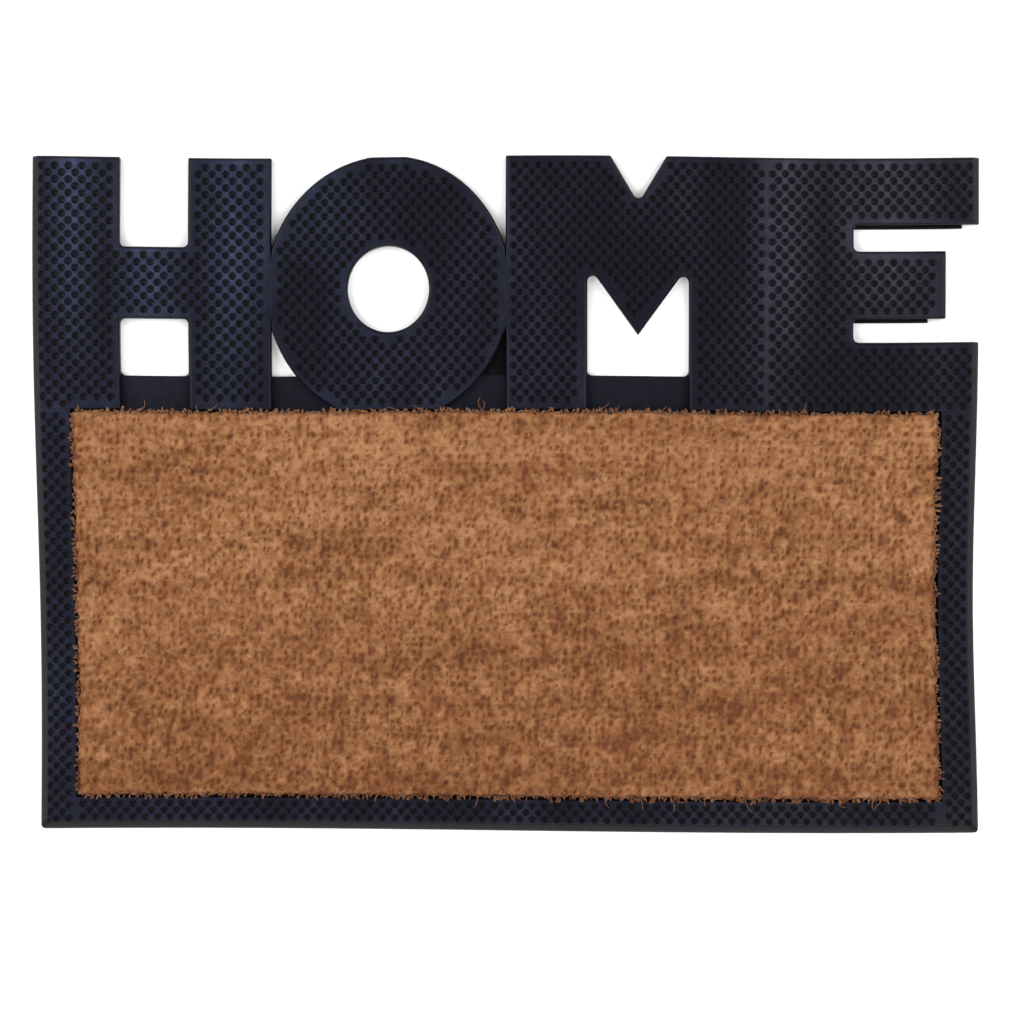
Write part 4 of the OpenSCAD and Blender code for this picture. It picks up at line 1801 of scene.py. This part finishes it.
@dataclass
class StrayFibres:
    """Loose fibres that lie along the back edge of the panel and over the rubber in front of it."""

    along_back: int = 26
    in_front: int = 14
    thickness: float = 0.34 * MM
    steps: int = 7
    sides: int = 4
    arch: float = 0.6 * MM
    # how far from the panel's ends the fibres start
    from_end: float = 8 * MM
    # the palest fibre is lighter than the darkest one by the second number, in steps that come round
    darkest: float = 0.62
    paler: float = 0.3
    shades: int = 5
    redness: float = 0.12
    cells: int = 16
    seed: int = 31

    def path(self, start: Vector, heading: float, length: float, end_height: float,
             random: np.random.Generator) -> list[Vector]:
        """Bends one fibre.

        Args:
            start: where it starts.
            heading: the way it sets off, as an angle from +X.
            length: its length.
            end_height: height of its far end.
            random: where its bends come from.

        Returns:
            The points along its middle.
        """
        bend = random.uniform(-0.35, 0.35)
        points, here = [start.copy()], start.copy()
        for step in range(1, self.steps + 1):
            heading += bend + random.uniform(-0.12, 0.12)
            here = here + Vector((math.cos(heading), math.sin(heading), 0)) * length / self.steps
            share = step / self.steps
            here.z = start.z + (end_height - start.z) * share + math.sin(math.pi * share) * self.arch
            points.append(here.copy())
        return points

    def paths(self) -> list[list[Vector]]:
        """Places every fibre.

        Returns:
            The middle line of each fibre.
        """
        random = np.random.default_rng(self.seed)
        low_x, high_x = COIR_LOW.x + self.from_end, COIR_HIGH.x - self.from_end
        found = []
        for _ in range(self.along_back):
            place = Vector((random.uniform(low_x, high_x), COIR_HIGH.y - random.uniform(0.2, 2.0) * MM,
                            COIR_HIGH.z - random.uniform(0.2, 0.9) * MM))
            heading = random.choice((0.0, math.pi)) + random.uniform(-0.25, 0.25)
            found.append(self.path(place, heading, random.uniform(5, 15) * MM, place.z - 0.4 * MM, random))
        for _ in range(self.in_front):
            # most of them lie towards the right
            x = high_x - abs(random.normal(0, 0.5)) * (COIR_HIGH.x - COIR_LOW.x) * 0.5
            place = Vector((max(x, low_x), COIR_LOW.y + random.uniform(1, 4) * MM,
                            COIR_HIGH.z - random.uniform(1, 2.5) * MM))
            heading = -math.pi / 2 + random.uniform(-1.1, 1.1)
            found.append(self.path(place, heading, random.uniform(7, 13) * MM, TREAD_TOP + 0.4 * MM, random))
        return found

    def rings(self, shape: bmesh.types.BMesh, path: list[Vector]) -> list[list[bmesh.types.BMVert]]:
        """Sets a ring of vertices round every point of a fibre's middle line.

        Args:
            shape: the shape that they are added to.
            path: the middle line.

        Returns:
            The rings, which are smaller at the ends of the fibre.
        """
        found = []
        for i, centre in enumerate(path):
            ahead = (path[min(i + 1, len(path) - 1)] - path[max(i - 1, 0)]).normalized()
            side = ahead.cross(Vector((0, 0, 1))).normalized()
            over = side.cross(ahead)
            radius = self.thickness / 2 * (0.35 + 0.65 * math.sin(math.pi * (i + 0.5) / len(path)))
            turns = [2 * math.pi * k / self.sides for k in range(self.sides)]
            found.append([shape.verts.new(centre + (side * math.cos(turn) + over * math.sin(turn)) * radius)
                          for turn in turns])
        return found

    def add_fibre(self, shape: bmesh.types.BMesh, path: list[Vector], number: int) -> None:
        """Adds one fibre, with its colour and its own square of the texture map.

        Args:
            shape: the shape that it is added to.
            path: its middle line.
            number: the fibre's number.
        """
        rings = self.rings(shape, path)
        tone, red = (shape.verts.layers.float[name] for name in (TONE, REDNESS))
        for vert in (vert for ring in rings for vert in ring):
            vert[tone] = self.darkest + self.paler * (number % self.shades) / (self.shades - 1)
            vert[red] = self.redness
        faces = [shape.faces.new(rings[0]), shape.faces.new(reversed(rings[-1]))]
        for first, second in zip(rings, rings[1:]):
            for k in range(self.sides):
                n = (k + 1) % self.sides
                faces.append(shape.faces.new((first[n], first[k], second[k], second[n])))
        layer = shape.loops.layers.uv[MAP_LAYER]
        column, row = number % self.cells, number // self.cells
        for face in faces:
            for corner, (across, up) in zip(face.loops, SQUARE):
                corner[layer].uv = ((column + across) / self.cells, (row + up) / self.cells)

    def build(self, fibre: bpy.types.Material) -> bpy.types.Object:
        """Args:
            fibre: the fibre's finish.

        Returns:
            The piece.
        """
        shape = bmesh.new()
        for name in (TONE, REDNESS):
            shape.verts.layers.float.new(name)
        shape.loops.layers.uv.new(MAP_LAYER)
        for number, path in enumerate(self.paths()):
            self.add_fibre(shape, path, number)
        bmesh.ops.recalc_face_normals(shape, faces=shape.faces)
        mesh = bpy.data.meshes.new("coir_strays")
        shape.to_mesh(mesh)
        shape.free()
        mesh.materials.append(fibre)
        mesh.shade_smooth()
        WANDER.apply(mesh)
        piece = new_piece("coir_strays", mesh)
        declare(piece, "coir_pile")
        LOG.info("%s: %d faces", piece.name, len(mesh.polygons))
        return piece


# ---------- Studio ----------


@dataclass
class Studio:
    """A pale floor, soft light and a camera that looks straight down."""

    aim_x: float = 4.5 * MM
    aim_y: float = -13.4 * MM
    height: float = 2.5
    view_width: float = 0.7585
    sensor: float = 36.0
    floor_half: float = 6.0
    floor_gap: float = 0.2 * MM
    light_size: float = 2.8
    # name, place and power in watts of each light
    lights: tuple[tuple[str, tuple[float, float, float], float], ...] = (
        ("soft_left", (-2.2, 0.7, 2.0), 116.0),
        ("soft_right", (2.2, 0.9, 2.0), 108.0),
        ("soft_front", (0.2, -2.4, 2.0), 90.0),
    )
    sky_colour: tuple[float, float, float, float] = (0.95, 0.97, 1.0, 1.0)
    sky_strength: float = 0.12

    def floor(self) -> None:
        """Lays the floor."""
        mesh = bpy.data.meshes.new("studio_floor")
        half = self.floor_half
        corners = [(-half, -half, 0), (half, -half, 0), (half, half, 0), (-half, half, 0)]
        mesh.from_pydata(corners, [], [(0, 1, 2, 3)])
        floor = new_piece("studio_floor", mesh)
        floor.location.z = -self.floor_gap
        material, graph = new_material("studio_floor")
        graph.shade({"Base Color": (0.9, 0.9, 0.9, 1), "Roughness": 0.9, "Specular IOR Level": 0.1})
        mesh.materials.append(material)

    def light(self, name: str, place: tuple[float, float, float], power: float) -> None:
        """Hangs one soft square light that shines at the mat.

        Args:
            name: the light's name.
            place: where it hangs.
            power: its power in watts.
        """
        lamp = bpy.data.lights.new(name, "AREA")
        lamp.size = self.light_size
        lamp.energy = power
        holder = bpy.data.objects.new(name, lamp)
        bpy.context.scene.collection.objects.link(holder)
        holder.location = place
        holder.rotation_euler = (-Vector(place)).to_track_quat("-Z", "Y").to_euler()

    def sky(self) -> None:
        """Fills the room with a faint even light."""
        world = bpy.data.worlds.new("studio")
        world.use_nodes = True
        background = world.node_tree.nodes["Background"]
        background.inputs["Color"].default_value = self.sky_colour
        background.inputs["Strength"].default_value = self.sky_strength
        bpy.context.scene.world = world

    def camera(self) -> None:
        """Hangs the camera over the mat."""
        camera = bpy.data.cameras.new("camera")
        camera.sensor_width = self.sensor
        camera.lens = self.sensor * (self.height - TREAD_TOP) / self.view_width
        camera.clip_end = 20
        holder = bpy.data.objects.new("camera", camera)
        holder.location = (self.aim_x, self.aim_y, self.height)
        scene = bpy.context.scene
        scene.collection.objects.link(holder)
        scene.camera = holder
        scene.view_settings.view_transform = "Standard"

    def build(self) -> None:
        """Builds the studio."""
        self.floor()
        for name, place, power in self.lights:
            self.light(name, place, power)
        self.sky()
        self.camera()


def main() -> None:
    """Builds the mat and the studio."""
    logging.basicConfig(level=logging.INFO, format="%(name)s %(message)s")
    Studio().build()
    Surround().build()
    CoirPanel().build()


if __name__ == "__main__":
    main()
